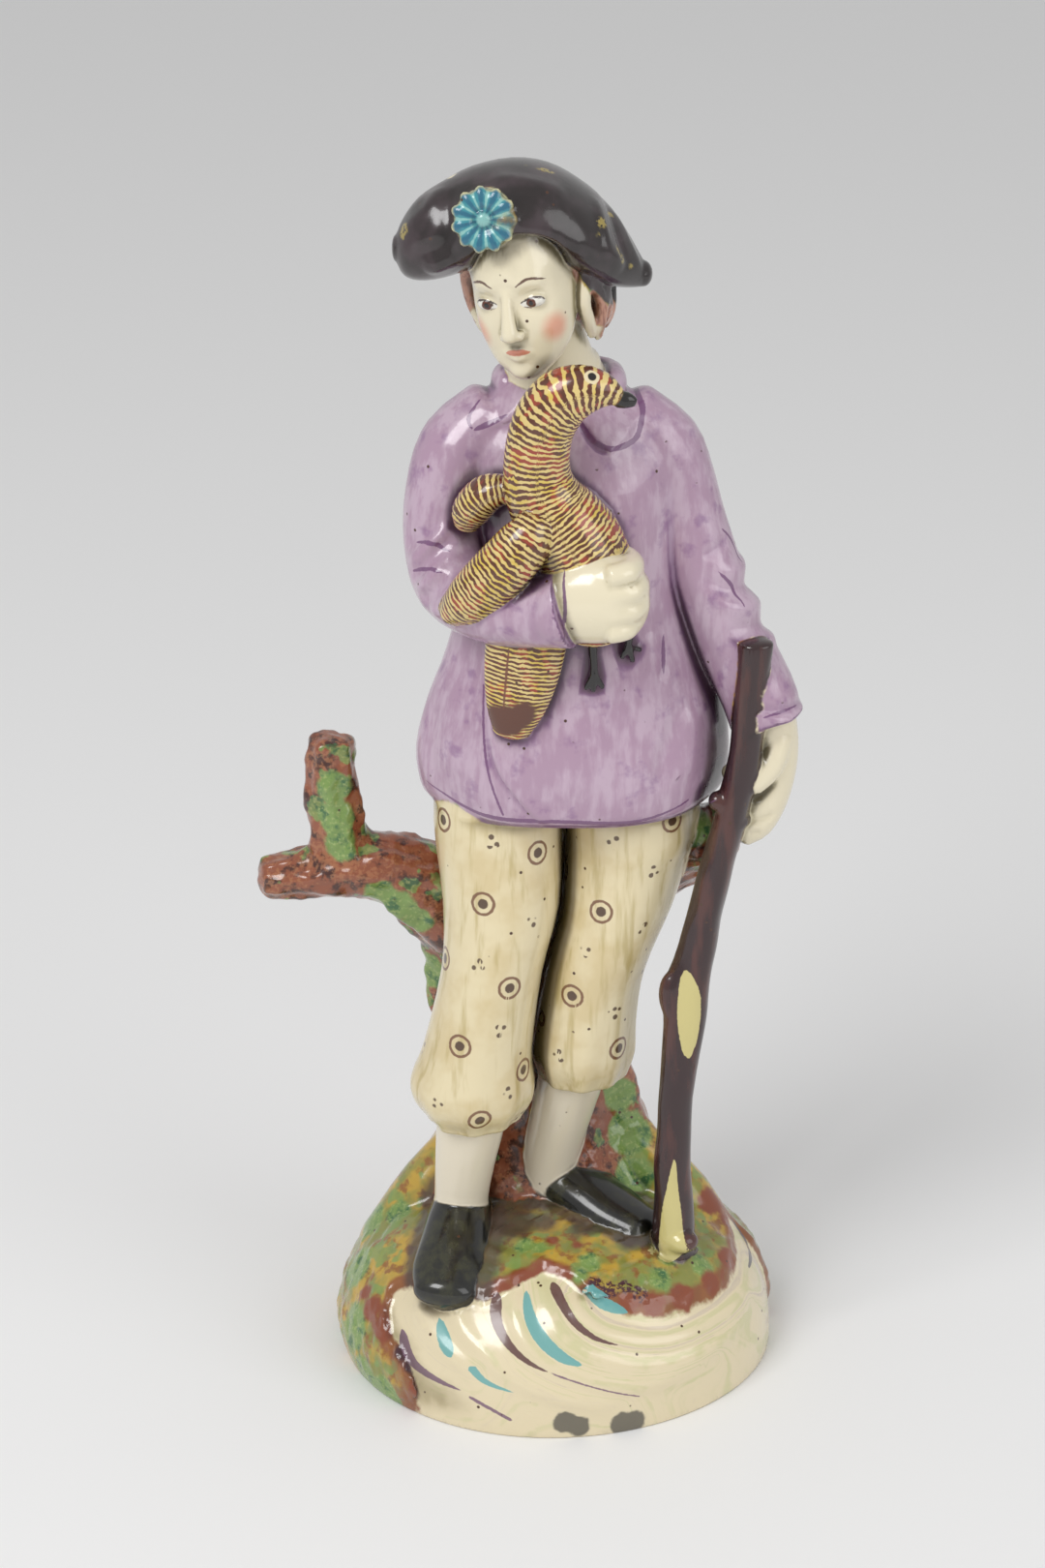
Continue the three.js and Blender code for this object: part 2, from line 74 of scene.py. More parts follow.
class Wire:
    # a socket that can be reckoned with
    def __init__(self, bench, socket):
        self.bench, self.socket = bench, socket

    def __add__(self, other):
        return self.bench.sum("ADD", self, other)

    def __sub__(self, other):
        return self.bench.sum("SUBTRACT", self, other)

    def __rsub__(self, other):
        return self.bench.sum("SUBTRACT", other, self)

    def __mul__(self, other):
        return self.bench.sum("MULTIPLY", self, other)

    def __truediv__(self, other):
        return self.bench.sum("DIVIDE", self, other)

    def __pow__(self, other):
        return self.bench.sum("POWER", self, other)

    __radd__, __rmul__ = __add__, __mul__


class Bench:
    # where a tree's nodes are made
    def __init__(self, tree):
        self.tree = tree

    def node(self, kind, settings=None, inputs=None, output=0):
        made = self.tree.nodes.new(kind)
        for name, value in (settings or {}).items():
            setattr(made, name, value)
        for name, value in (inputs or {}).items():
            if isinstance(value, Wire):
                self.tree.links.new(value.socket, made.inputs[name])
            else:
                made.inputs[name].default_value = value
        return Wire(self, made.outputs[output])

    def sum(self, operation, a, b=0.0):
        return self.node("ShaderNodeMath", {"operation": operation}, {0: a, 1: b})


class GlazeBench(Bench):
    def __init__(self, tree):
        super().__init__(tree)
        where = self.node("ShaderNodeTexCoord", output="Object")
        self.place = self.node("ShaderNodeVectorMath", {"operation": "SCALE"}, {0: where, "Scale": 1 / metre})

    def kept(self, name, output="Fac"):
        return self.node("ShaderNodeAttribute", {"attribute_name": name}, output=output)

    def noise(self, pitch, detail=2.0, seed=0.0, stretch=(1, 1, 1), at=None):
        scaled = tuple(s / pitch for s in stretch)
        at = self.node("ShaderNodeVectorMath", {"operation": "MULTIPLY_ADD"},
                       {0: at or self.place, 1: scaled, 2: (seed, seed * 1.7, seed * 0.6)})
        return self.node("ShaderNodeTexNoise", {}, {"Vector": at, "Scale": 1.0, "Detail": detail, "Roughness": 0.55})

    def soft(self, value, low, high, start=0.0, end=1.0):
        # from start to end as the value goes from low to high, eased
        return self.node("ShaderNodeMapRange", {"interpolation_type": "SMOOTHSTEP"}, {
            "Value": value, "From Min": low, "From Max": high, "To Min": start, "To Max": end})

    def mix(self, a, b, share, blend="MIX"):
        return self.node("ShaderNodeMix", {"data_type": "RGBA", "blend_type": blend}, {0: share, 6: a, 7: b}, output=2)


glaze = bpy.data.materials.new("pearlwareGlaze")
glaze.use_nodes = True


def grow(name, points, edges, faces, build, sizes, extra=None):
    # a mesh grown by Geometry Nodes on a base of points, given back as plain points and triangles;
    # `build` wires the tree and returns its last geometry, and each of `sizes` is a named input
    tree = bpy.data.node_groups.new(name, "GeometryNodeTree")
    tree.interface.new_socket("Base", in_out="INPUT", socket_type="NodeSocketGeometry")
    for label, value in sizes.items():
        kind = "NodeSocketInt" if isinstance(value, int) else "NodeSocketFloat"
        tree.interface.new_socket(label, in_out="INPUT", socket_type=kind)
    tree.interface.new_socket("Grown", in_out="OUTPUT", socket_type="NodeSocketGeometry")
    bench = Bench(tree)
    given = tree.nodes.new("NodeGroupInput")
    wires = {socket.name: Wire(bench, socket) for socket in given.outputs if socket.name}
    grown = build(bench, wires)
    grown = bench.node("GeometryNodeRealizeInstances", {}, {0: grown})
    grown = bench.node("GeometryNodeSetMaterial", {}, {0: grown, "Material": glaze})
    tree.links.new(grown.socket, tree.nodes.new("NodeGroupOutput").inputs[0])

    base = bpy.data.meshes.new(name)
    base.from_pydata([tuple(map(float, q)) for q in points], edges, faces)
    for label, values in (extra or {}).items():
        base.attributes.new(label, "FLOAT", "POINT").data.foreach_set("value", np.array(values, np.float32))
    holder = bpy.data.objects.new(name, base)
    bpy.context.scene.collection.objects.link(holder)
    growth = holder.modifiers.new(name, "NODES")
    growth.node_group = tree
    for item in tree.interface.items_tree:
        if item.in_out == "INPUT" and item.name in sizes:
            growth[item.identifier] = sizes[item.name]
    mesh = bpy.data.meshes.new_from_object(holder.evaluated_get(bpy.context.evaluated_depsgraph_get()))
    holder.modifiers.clear()
    bpy.data.objects.remove(holder)
    mesh.calc_loop_triangles()
    corners = np.zeros(len(mesh.loop_triangles) * 3, np.int32)
    mesh.loop_triangles.foreach_get("vertices", corners)
    places = np.zeros(len(mesh.vertices) * 3, np.float32)
    mesh.vertices.foreach_get("co", places)
    bpy.data.meshes.remove(mesh)
    print("grown", name, len(corners) // 3)
    return places.reshape(-1, 3), corners.reshape(-1, 3)


def growStrands(name, paths, thick, sides=8):
    # round strands along paths, each as thick at every point as `thick` says
    points = [q for path in paths for q in path]
    edges, start = [], 0
    for path in paths:
        edges += [(start + n, start + n + 1) for n in range(len(path) - 1)]
        start += len(path)

    def build(bench, wires):
        line = bench.node("GeometryNodeMeshToCurve", {}, {0: wires["Base"]})
        ring = bench.node("GeometryNodeCurvePrimitiveCircle", {}, {"Resolution": wires["Sides"], "Radius": 1.0})
        radius = bench.node("GeometryNodeInputNamedAttribute", {"data_type": "FLOAT"}, {"Name": "thick"})
        return bench.node("GeometryNodeCurveToMesh", {}, {
            "Curve": line, "Profile Curve": ring, "Scale": radius * wires["Thickness"], "Fill Caps": True})

    return grow(name, points, edges, [], build, {"Sides": sides, "Thickness": 1.0},
                {"thick": [r for row in thick for r in row]})


def growBeads(name, points, faces, sizes):
    # rounded crumbs of clay pressed on a surface
    def build(bench, wires):
        strewn = bench.node("GeometryNodeDistributePointsOnFaces", {"distribute_method": "POISSON"}, {
            "Mesh": wires["Base"], "Distance Min": wires["Apart"], "Density Max": wires["Density"],
            "Seed": wires["Seed"]})
        turn = Wire(bench, strewn.socket.node.outputs["Rotation"])
        bead = bench.node("GeometryNodeMeshIcoSphere", {}, {"Radius": 1.0, "Subdivisions": 2})
        spread = bench.node("FunctionNodeRandomValue", {"data_type": "FLOAT"}, {
            2: 0.65, 3: 1.35, "Seed": wires["Seed"]}, output=1)
        longer = bench.node("FunctionNodeRandomValue", {"data_type": "FLOAT"}, {
            2: 0.8, 3: 1.7, "Seed": wires["Seed"] + 5}, output=1)
        size = spread * wires["Bead"]
        scale = bench.node("ShaderNodeCombineXYZ", {}, {0: size * longer, 1: size, 2: size * wires["Flatness"]})
        return bench.node("GeometryNodeInstanceOnPoints", {}, {
            "Points": strewn, "Instance": bead, "Rotation": turn, "Scale": scale})

    return grow(name, points, [], faces, build, sizes)


# Tools for soft forms

def between(rows, steps):
    # rows of numbers, filled in between by a Catmull-Rom curve
    rows = np.array(rows, float)
    last = len(rows) - 1
    filled = []
    for i in range(last):
        a, b, c, d = (rows[k] for k in (max(i - 1, 0), i, i + 1, min(i + 2, last)))
        for s in range(steps):
            t = s / steps
            filled.append(b + 0.5 * t * (c - a + t * (2 * a - 5 * b + 4 * c - d + t * (3 * (b - c) + d - a))))
    return np.array(filled + [rows[last]])


def nearest(path, p):
    # squared gap from each point to a line, and the place along it, counted in its own points
    best = np.full(len(p), np.inf, np.float32)
    place = np.zeros(len(p), np.float32)
    for j in range(len(path) - 1):
        start, run = path[j], path[j + 1] - path[j]
        q = p - start
        t = np.clip(q @ run / max(run @ run, 1e-9), 0, 1)
        q -= t[:, None] * run
        gap = np.einsum("ij,ij->i", q, q)
        nearer = gap < best
        best[nearer] = gap[nearer]
        place[nearer] = j + t[nearer]
    return best, place


def pick(values, place):
    # a value for each place along a line
    low = np.clip(place.astype(int), 0, len(values) - 2)
    t = place - low
    if values.ndim > 1:
        t = t[:, None]
    return values[low] * (1 - t) + values[low + 1] * t


def ovalGap(parts):
    # distance to an oval, from pairs of offset and radius
    k0 = np.sqrt(sum((q / r) ** 2 for q, r in parts))
    k1 = np.sqrt(sum((q / (r * r)) ** 2 for q, r in parts))
    return k0 * (k0 - 1) / np.maximum(k1, 1e-6)


def soften(a, b, width):
    # the nearer of two distances, with a fillet where they meet
    h = np.maximum(width - np.abs(a - b), 0) / width
    return np.minimum(a, b) - h * h * width * 0.25


class Form:
    # a soft solid: the distance from any point to its skin, its box, and the relief worked on it
    def __init__(self, rough, low, high):
        self.rough = rough
        self.low = np.array(low, np.float32)
        self.high = np.array(high, np.float32)
        self.relief = []

    def distance(self, p):
        d = self.rough(p)
        for low, high, amount in self.relief:
            near = np.flatnonzero((np.abs(d) < 4) & np.all((p > low) & (p < high), 1))
            if len(near):
                d[near] -= amount(p[near])
        return d

    def snap(self, points):
        # points brought onto the form's own skin
        q = np.array(points, np.float32)
        for n in range(4):
            steps = np.eye(3, dtype=np.float32) * 0.2
            slope = np.stack([self.rough(q + step) - self.rough(q - step) for step in steps], 1) / 0.4
            q = q - slope * (self.rough(q) / np.maximum((slope**2).sum(1), 0.1))[:, None]
        return q

    def cut(self, other, width):
        # hollowed by another form, with a soft rim
        whole = self.rough
        self.rough = lambda p: -soften(-whole(p), other.distance(p), width)
        return self

    def work(self, points, width, height, steps=4, fade=0.25):
        # a raised line, or a groove where the height is less than nothing, that fades at its ends
        path = self.snap(between([q[:3] for q in points], steps))
        last = len(path) - 1

        def amount(q):
            gap, place = nearest(path, q)
            share = place / last
            ends = np.clip(np.minimum(share, 1 - share) / fade, 0, 1) if fade else 1
            return height * np.exp(-gap / width**2) * ends

        reach = 2.6 * width
        self.relief.append((path.min(0) - reach, path.max(0) + reach, amount))
        return self

    def press(self, amount):
        # relief all over, given by a function of the points
        self.relief.append((self.low - 9, self.high + 9, amount))
        return self

    def turned(self, matrix):
        # the same form under a turn and a shift
        turn = np.array(matrix.to_3x3(), np.float32)
        shift = np.array(matrix.translation, np.float32)
        corners = np.array([[x, y, z] for x in (self.low[0], self.high[0]) for y in (self.low[1], self.high[1])
                            for z in (self.low[2], self.high[2])])
        placed = corners @ turn.T + shift
        return Form(lambda p: self.distance((p - shift) @ turn), placed.min(0), placed.max(0))


def lump(centre, radii, turn=None):
    c, r = np.array(centre, np.float32), np.array(radii, np.float32)
    if turn is not None:
        return lump((0, 0, 0), radii).turned(Matrix.Translation(Vector(centre)) @ turn.to_4x4())
    return Form(lambda p: ovalGap([(p[:, n] - c[n], r[n]) for n in range(3)]), c - r, c + r)


class Limb(Form):
    # a body of oval sections along a path, with rows of x, y, z and two radii, the first along `side`
    def __init__(self, rows, side=across, along=None, steps=3, ends=(0.5, 0.5), fold=None):
        path = between(rows, steps)
        self.centres = path[:, :3].astype(np.float32)
        self.radii = path[:, 3:5].astype(np.float32)
        self.ends, self.fold = ends, fold
        last = len(path) - 1
        tangents, sides = [], []
        for i in range(last + 1):
            t = Vector(path[min(i + 1, last), :3] - path[max(i - 1, 0), :3]).normalized()
            if along:
                t = along if t.dot(along) > 0 else -along
            tangents.append(t)
            sides.append((side - t * side.dot(t)).normalized())
        self.tangents = np.array(tangents, np.float32)
        self.sides = np.array(sides, np.float32)
        self.ups = np.cross(self.tangents, self.sides)
        steps = np.linalg.norm(np.diff(self.centres, axis=0), axis=1)
        self.run = np.concatenate([[0], np.cumsum(steps)]).astype(np.float32)
        self.axis = None if along is None else int(np.argmax(np.abs(np.array(along))))
        reach = self.radii.max(1)[:, None] * 1.1
        super().__init__(self.skin, (self.centres - reach).min(0), (self.centres + reach).max(0))

    def locate(self, p):
        # for each point: its place on the path, and its offsets along the path, the side and square to both
        if self.axis is None:
            place = nearest(self.centres, p)[1]
        else:
            levels = self.centres[:, self.axis]
            order = np.argsort(levels)
            place = np.interp(p[:, self.axis], levels[order], order.astype(np.float32)).astype(np.float32)
        q = p - pick(self.centres, place)
        past, u, v = (np.einsum("ij,ij->i", q, pick(f, place)) for f in (self.tangents, self.sides, self.ups))
        return place, np.where((place <= 0) | (place >= len(self.centres) - 1), past, 0), u, v

    def skin(self, p):
        place, s, u, v = self.locate(p)
        radii = pick(self.radii, place)
        a, b = radii[:, 0], radii[:, 1]
        if self.fold:
            swell = self.fold(np.arctan2(v / b, u / a), place / (len(self.centres) - 1))
            a, b = a * swell, b * swell
        amount = np.where(place * 2 < len(self.centres) - 1, *self.ends)
        end = np.maximum(np.minimum(radii[:, 0], radii[:, 1]) * amount, 0.3)
        return ovalGap([(u, a), (v, b), (s, end)])


def inPlan(outline, p):
    # distance to a closed outline seen from above, less than nothing inside it
    ring = np.array(outline, np.float32)
    ahead = np.roll(ring, -1, 0)
    best = np.full(len(p), np.inf, np.float32)
    inside = np.zeros(len(p), bool)
    for a, b in zip(ring, ahead):
        q, run = p[:, :2] - a, b - a
        t = np.clip(q @ run / max(run @ run, 1e-9), 0, 1)
        gap = np.square(q - t[:, None] * run).sum(1)
        best = np.minimum(best, gap)
        crosses = (a[1] > p[:, 1]) != (b[1] > p[:, 1])
        where = a[0] + (p[:, 1] - a[1]) * (b[0] - a[0]) / (b[1] - a[1] if b[1] != a[1] else 1e-9)
        inside ^= crosses & (p[:, 0] < where)
    return np.where(inside, -1, 1) * np.sqrt(best)


def ripple(p, pitch, seed):
    # a gentle unevenness of the hand, from a few crossing waves
    total = np.zeros(len(p), np.float32)
    for n in range(4):
        turn = np.array([math.sin(seed + 2.1 * n), math.cos(1.7 * seed + n), math.sin(0.6 * seed + 1.3 * n + 1)])
        turn = (turn / np.linalg.norm(turn)).astype(np.float32)
        total += np.sin(p @ turn * (2 * math.pi / (pitch * (0.8 + 0.23 * n))) + seed * (n + 1))
    return total * 0.25


# The mound, its banks and the running water

mound = {
    "width": 81.5,
    "depth": 74.0,
    "top": 28.5,
    "roundness": 2.6,
    "bank": 1.3,  # how far the land stands over the water
    # the edge between land and water, seen from above, from the front by way of the shoe to the right side
    "edge": [(-12.6, -41), (-15.6, -36.4), (-18.6, -34.9), (-21.1, -33.2), (-23.6, -31.6), (-25.8, -29.6),
             (-27.6, -27), (-29.2, -24.5), (-30.8, -22.2), (-31.4, -18.7), (-30.2, -16.8), (-27, -17.2), (-21, -21),
             (-16.2, -24), (-13.3, -25.7), (-8, -24.1), (-2.6, -21.1), (1.8, -22.5), (4.5, -24.8), (8.9, -27),
             (13.3, -27.3), (18.7, -25.9), (24.2, -22.8), (28.8, -18.5), (32.1, -13.2), (33.9, -6.3), (33.6, -0.1),
             (32.1, 4.6), (34.5, 5), (37, 4.6), (46, 7)],
    # crests of the water, each leaving the bank and running round to the right
    "crests": [
        [(-18.7, -23.8), (-16.9, -28.6), (-9.7, -34.1), (-0.9, -36.3), (11.5, -35.3)],
        [(-8, -23.5), (-7.1, -29.4), (-4.4, -33.1), (2.6, -35.2), (15.1, -33.6), (29.7, -24.2)],
        [(-2.6, -23), (-1.2, -28.3), (1.8, -32.2), (7.9, -33.6), (18.7, -31.2), (29.7, -23.3), (36.5, -11.4)],
        [(2.7, -25.8), (4.4, -29), (9.7, -30.9), (20.5, -28.4), (31.6, -18.5), (37.4, -5.2)],
        [(-25.5, -21), (-24, -25), (-20, -29.5), (-14.5, -33)],
    ],
    "crestHigh": 0.75,
    "crestWide": 1.7,
}


def onMound(x, y, lift=0.0):
    share = math.hypot(x / mound["width"], y / mound["depth"]) * 2
    n = mound["roundness"]
    return (x, y, mound["top"] * max(1 - share**n, 0) ** (1 / n) + lift)


def landGap(p):
    # less than nothing on land, more over water
    outline = mound["edge"] + [(46, 44), (-46, 44), (-46, -40)]
    return inPlan(outline, p)


def makeMound():
    a, b, h, n = mound["width"] / 2, mound["depth"] / 2, mound["top"], mound["roundness"]

    def skin(p):
        x, y, z = p[:, 0], p[:, 1], np.maximum(p[:, 2], 0.02)
        wobble = 1 + 0.01 * np.sin(3 * np.arctan2(y, x) + 1)
        share = np.maximum(np.hypot(x / a, y / b) / wobble, 1e-3)
        f = (share**n + (z / h) ** n) ** (1 / n)
        slopeOut = share ** (n - 1) * np.hypot(x / a**2, y / b**2) / share
        slopeUp = (z / h) ** (n - 1) / h
        d = (f - 1) / (f ** (1 - n) * np.hypot(slopeOut, slopeUp) + 1e-4)
        return np.maximum(np.minimum(d, 9), np.maximum(-9, -p[:, 2]))

    body = Form(skin, (-a - 1, -b - 1, 0), (a + 1, b + 1, h + 1))
    body.press(lambda p: mound["bank"] * np.clip(0.5 - landGap(p) / 1.8, 0, 1) * np.clip(p[:, 2] / 5, 0, 1))
    body.press(lambda p: np.where(landGap(p) < 0, 0.35 * ripple(p, 5.2, 1.4) + 0.22 * ripple(p, 2.3, 4.2), 0)
               * np.clip(p[:, 2] / 5, 0, 1))
    for crest in mound["crests"]:
        body.work([onMound(*q) for q in crest], mound["crestWide"], mound["crestHigh"], fade=0.15)
    roots = [
        Limb([(-15, 12, 37, 5, 5), (-24, 9, 27.5, 5.5, 6), (-31.2, 7, 16.5, 5.8, 7)], ends=(0.5, 0.9)),
        Limb([(14, 11, 36, 5, 5), (24, 7, 25.5, 6, 6), (31, 3, 16, 5, 6)], ends=(0.5, 0.9)),
    ]
    return [body, *roots]


moss = {
    "patch": [(4.6, -22.6), (16, -20.8), (17, -25.6), (5, -26.8)],  # seen from above
    "crumbs": {"Apart": 0.9, "Density": 2.2, "Bead": 0.62, "Flatness": 0.8, "Seed": 4},
}

clods = {"Apart": 2.6, "Density": 0.16, "Bead": 1.9, "Flatness": 0.32, "Seed": 9}


def growMoss():
    # a patch of small crumbs on the front of the land
    a, b, c, d = (Vector(q) for q in moss["patch"])
    steps = 6
    points = []
    for m in range(steps + 1):
        for n in range(steps + 1):
            x, y = a.lerp(b, n / steps).lerp(d.lerp(c, n / steps), m / steps)
            points.append(onMound(x, y, mound["bank"]))
    faces = [(m * 7 + n, m * 7 + n + 1, m * 7 + n + 8, m * 7 + n + 7) for m in range(steps) for n in range(steps)]
    return growBeads("mossCrumbs", points, [face[::-1] for face in faces], moss["crumbs"])


def growClods():
    # low lumps all over the land, as the modeller's thumb left it
    rings, turns = 14, 56
    points = []
    for m in range(rings):
        share = 0.5 + 0.47 * m / (rings - 1)
        for n in range(turns):
            turn = 2 * math.pi * n / turns
            x, y = share * mound["width"] / 2 * math.cos(turn), share * mound["depth"] / 2 * math.sin(turn)
            points.append(onMound(x, y, mound["bank"] * 0.4))
    gaps = landGap(np.array(points, np.float32))
    faces = []
    for m in range(rings - 1):
        for n in range(turns):
            face = [m * turns + n, (m + 1) * turns + n, (m + 1) * turns + (n + 1) % turns, m * turns + (n + 1) % turns]
            if max(gaps[i] for i in face) < -1.6:
                faces.append(face)
    return growBeads("landClods", points, faces, clods)


# The stump, with a forked branch on the left and a stub on the right

def bark(angle, share):
    return 1 + 0.05 * np.sin(5 * angle + 6 * share) + 0.03 * np.sin(9 * angle - 4 * share)


def makeStump():
    trunk = Limb([
        (-2, 9, 18, 28, 19),
        (-2, 11, 27, 24, 15.5),
        (-2.5, 13.5, 38, 20, 12),
        (-4, 14, 52, 18, 9.5),
        (-4.4, 14, 69, 19, 9.2),
        (-2, 12.5, 88, 21, 10),
        (0, 11, 100, 19, 10),
        (1, 9, hem + 2, 17, 9),
    ], along=up, fold=bark, ends=(0.3, 0.3))
    fork = Limb([
        (-12, 12, 80, 9, 11.4),
        (-23, 10.5, 88.8, 8, 8.6),
        (-31.5, 9, 94.2, 7, 6.4),
        (-39, 8, 94.8, 6, 5.7),
        (-46.5, 7.5, 93.5, 4.6, 4.5),
        (-53.2, 7, 93.1, 3.9, 3.9),
    ], side=back, fold=bark, ends=(0.5, 0.45))
    prong = Limb([
        (-38.5, 8.5, 94, 6.5, 6),
        (-40, 8, 102, 5.3, 5.2),
        (-40.8, 8, 111, 4.8, 4.6),
        (-40.9, 8, 119.3, 4.2, 4),
    ], fold=bark, ends=(0.5, 0.45))
    stub = Limb([
        (8, 13, 85, 7, 8),
        (17, 9.5, 93.5, 7, 7),
        (24.5, 4, 101.4, 6.4, 6.4),
        (28.2, -1.5, 105.4, 5.7, 5.9),
    ], side=back, fold=bark, ends=(0.5, 0.5))
    parts = [trunk, fork, prong, stub]
    for n, part in enumerate(parts):
        part.press(lambda p, n=n: 0.45 * ripple(p, 5.5, 2.7 + n) + 0.25 * ripple(p, 2.4, 5 + n))
    return parts


# Breeches gathered below the knee, stockings and shoes

def gathers(angle, share):
    return 1 + 0.035 * share**4 * np.sin(9 * angle) + 0.02 * share * np.sin(3 * angle + 2)


legs = {
    "rightBreeches": [
        (-9.5, -1, hem + 6, 12, 12.5),
        (-10.6, -2, hem - 5, 11.7, 12.2),
        (-10.1, -5, 94, 10.6, 11.2),
        (-11.8, -7.6, 81.5, 9.2, 10),
        (-14.5, -8, 66, 10, 10.2),
        (-15.5, -8, 59.5, 11.4, 10.9),
        (-15.4, -8, 55.5, 10.8, 10.4),
        (-15.2, -7.6, 52, 8.6, 8.6),
    ],
    "rightStocking": [
        (-15.4, -6.6, 56, 6.8, 7),
        (-15.9, -6.2, 48, 6.3, 6.5),
        (-16.9, -5.4, 40, 5.6, 5.8),
        (-17.6, -4.8, 33, 5.1, 5.4),
        (-17.9, -4.4, 27, 5.2, 5.6),
    ],
    "rightShoe": [
        (-17.6, 0.5, 28, 5, 4.6),
        (-18, -6, 28.4, 5.9, 5.8),
        (-18.8, -13, 26.6, 6.5, 5),
        (-19.8, -19, 24.4, 6.9, 4.3),
        (-20.6, -23.5, 22.9, 5.8, 3.5),
    ],
    "leftBreeches": [
        (12.5, 0.5, hem + 6, 12, 12.5),
        (13.7, 0, hem - 7, 12.2, 12),
        (12.6, 0, 101, 11.3, 11.4),
        (10.9, -1, 92, 10.2, 10.8),
        (8, -2, 83, 9.4, 10),
        (6.4, -2.2, 76.5, 9.1, 9.5),
        (5.3, -2, 68.5, 9.3, 9.6),
        (4.9, -1.6, 62, 9.5, 9.6),
        (4.8, -1.2, 57.5, 8.2, 8.4),
    ],
    "leftStocking": [
        (4, 0, 61, 6.6, 6.8),
        (2.8, 1, 54, 6.2, 6.4),
        (1.2, 2, 46.3, 5.7, 6),
        (-0.6, 3, 38, 5.4, 5.6),
        (-1.2, 3.6, 31, 5.2, 5.6),
    ],
    "leftShoe": [
        (-4.2, 7.6, 31.6, 4.8, 4.6),
        (-0.4, 4.4, 32, 5.6, 5),
        (5, 0.2, 30.8, 6.1, 4.6),
        (11, -4.2, 29, 6.2, 3.9),
        (16, -7.8, 27.7, 5, 3.2),
    ],
    "leftToes": Vector((0.62, 0.78, 0)),
}


def makeBreeches():
    return [Limb(legs[side + "Breeches"], along=up, fold=gathers, ends=(0.3, 0.3)) for side in ("right", "left")]


def makeStockings():
    return [Limb(legs[side + "Stocking"], along=up) for side in ("right", "left")]


def makeShoes():
    return [
        Limb(legs["rightShoe"], side=across, ends=(0.8, 0.9)),
        Limb(legs["leftShoe"], side=legs["leftToes"], ends=(0.8, 0.9)),
    ]


# The jacket, its sleeves, lapels and collar

jacketRows = [
    (2.8, 0, hem, 25.4, 17.4),
    (2.8, 0, hem + 2.2, 26.8, 18.4),
    (2.8, 0, hem + 9, 27.6, 18.8),
    (3.2, 0, hem + 18, 26, 17.6),
    (3.3, 0, hem + 28, 22.6, 15.8),
    (2.7, 0, hem + 41, 19.4, 14.8),
    (1.8, 0, hem + 57, 19.6, 14.6),
    (1.3, 0.6, shoulder - 3, 20, 13),
    (0.6, 1.2, shoulder + 3, 16.5, 10.5),
    (-0.4, 1.2, shoulder + 7.5, 11, 8.4),
    (-0.9, 1, shoulder + 11, 8, 7),
]


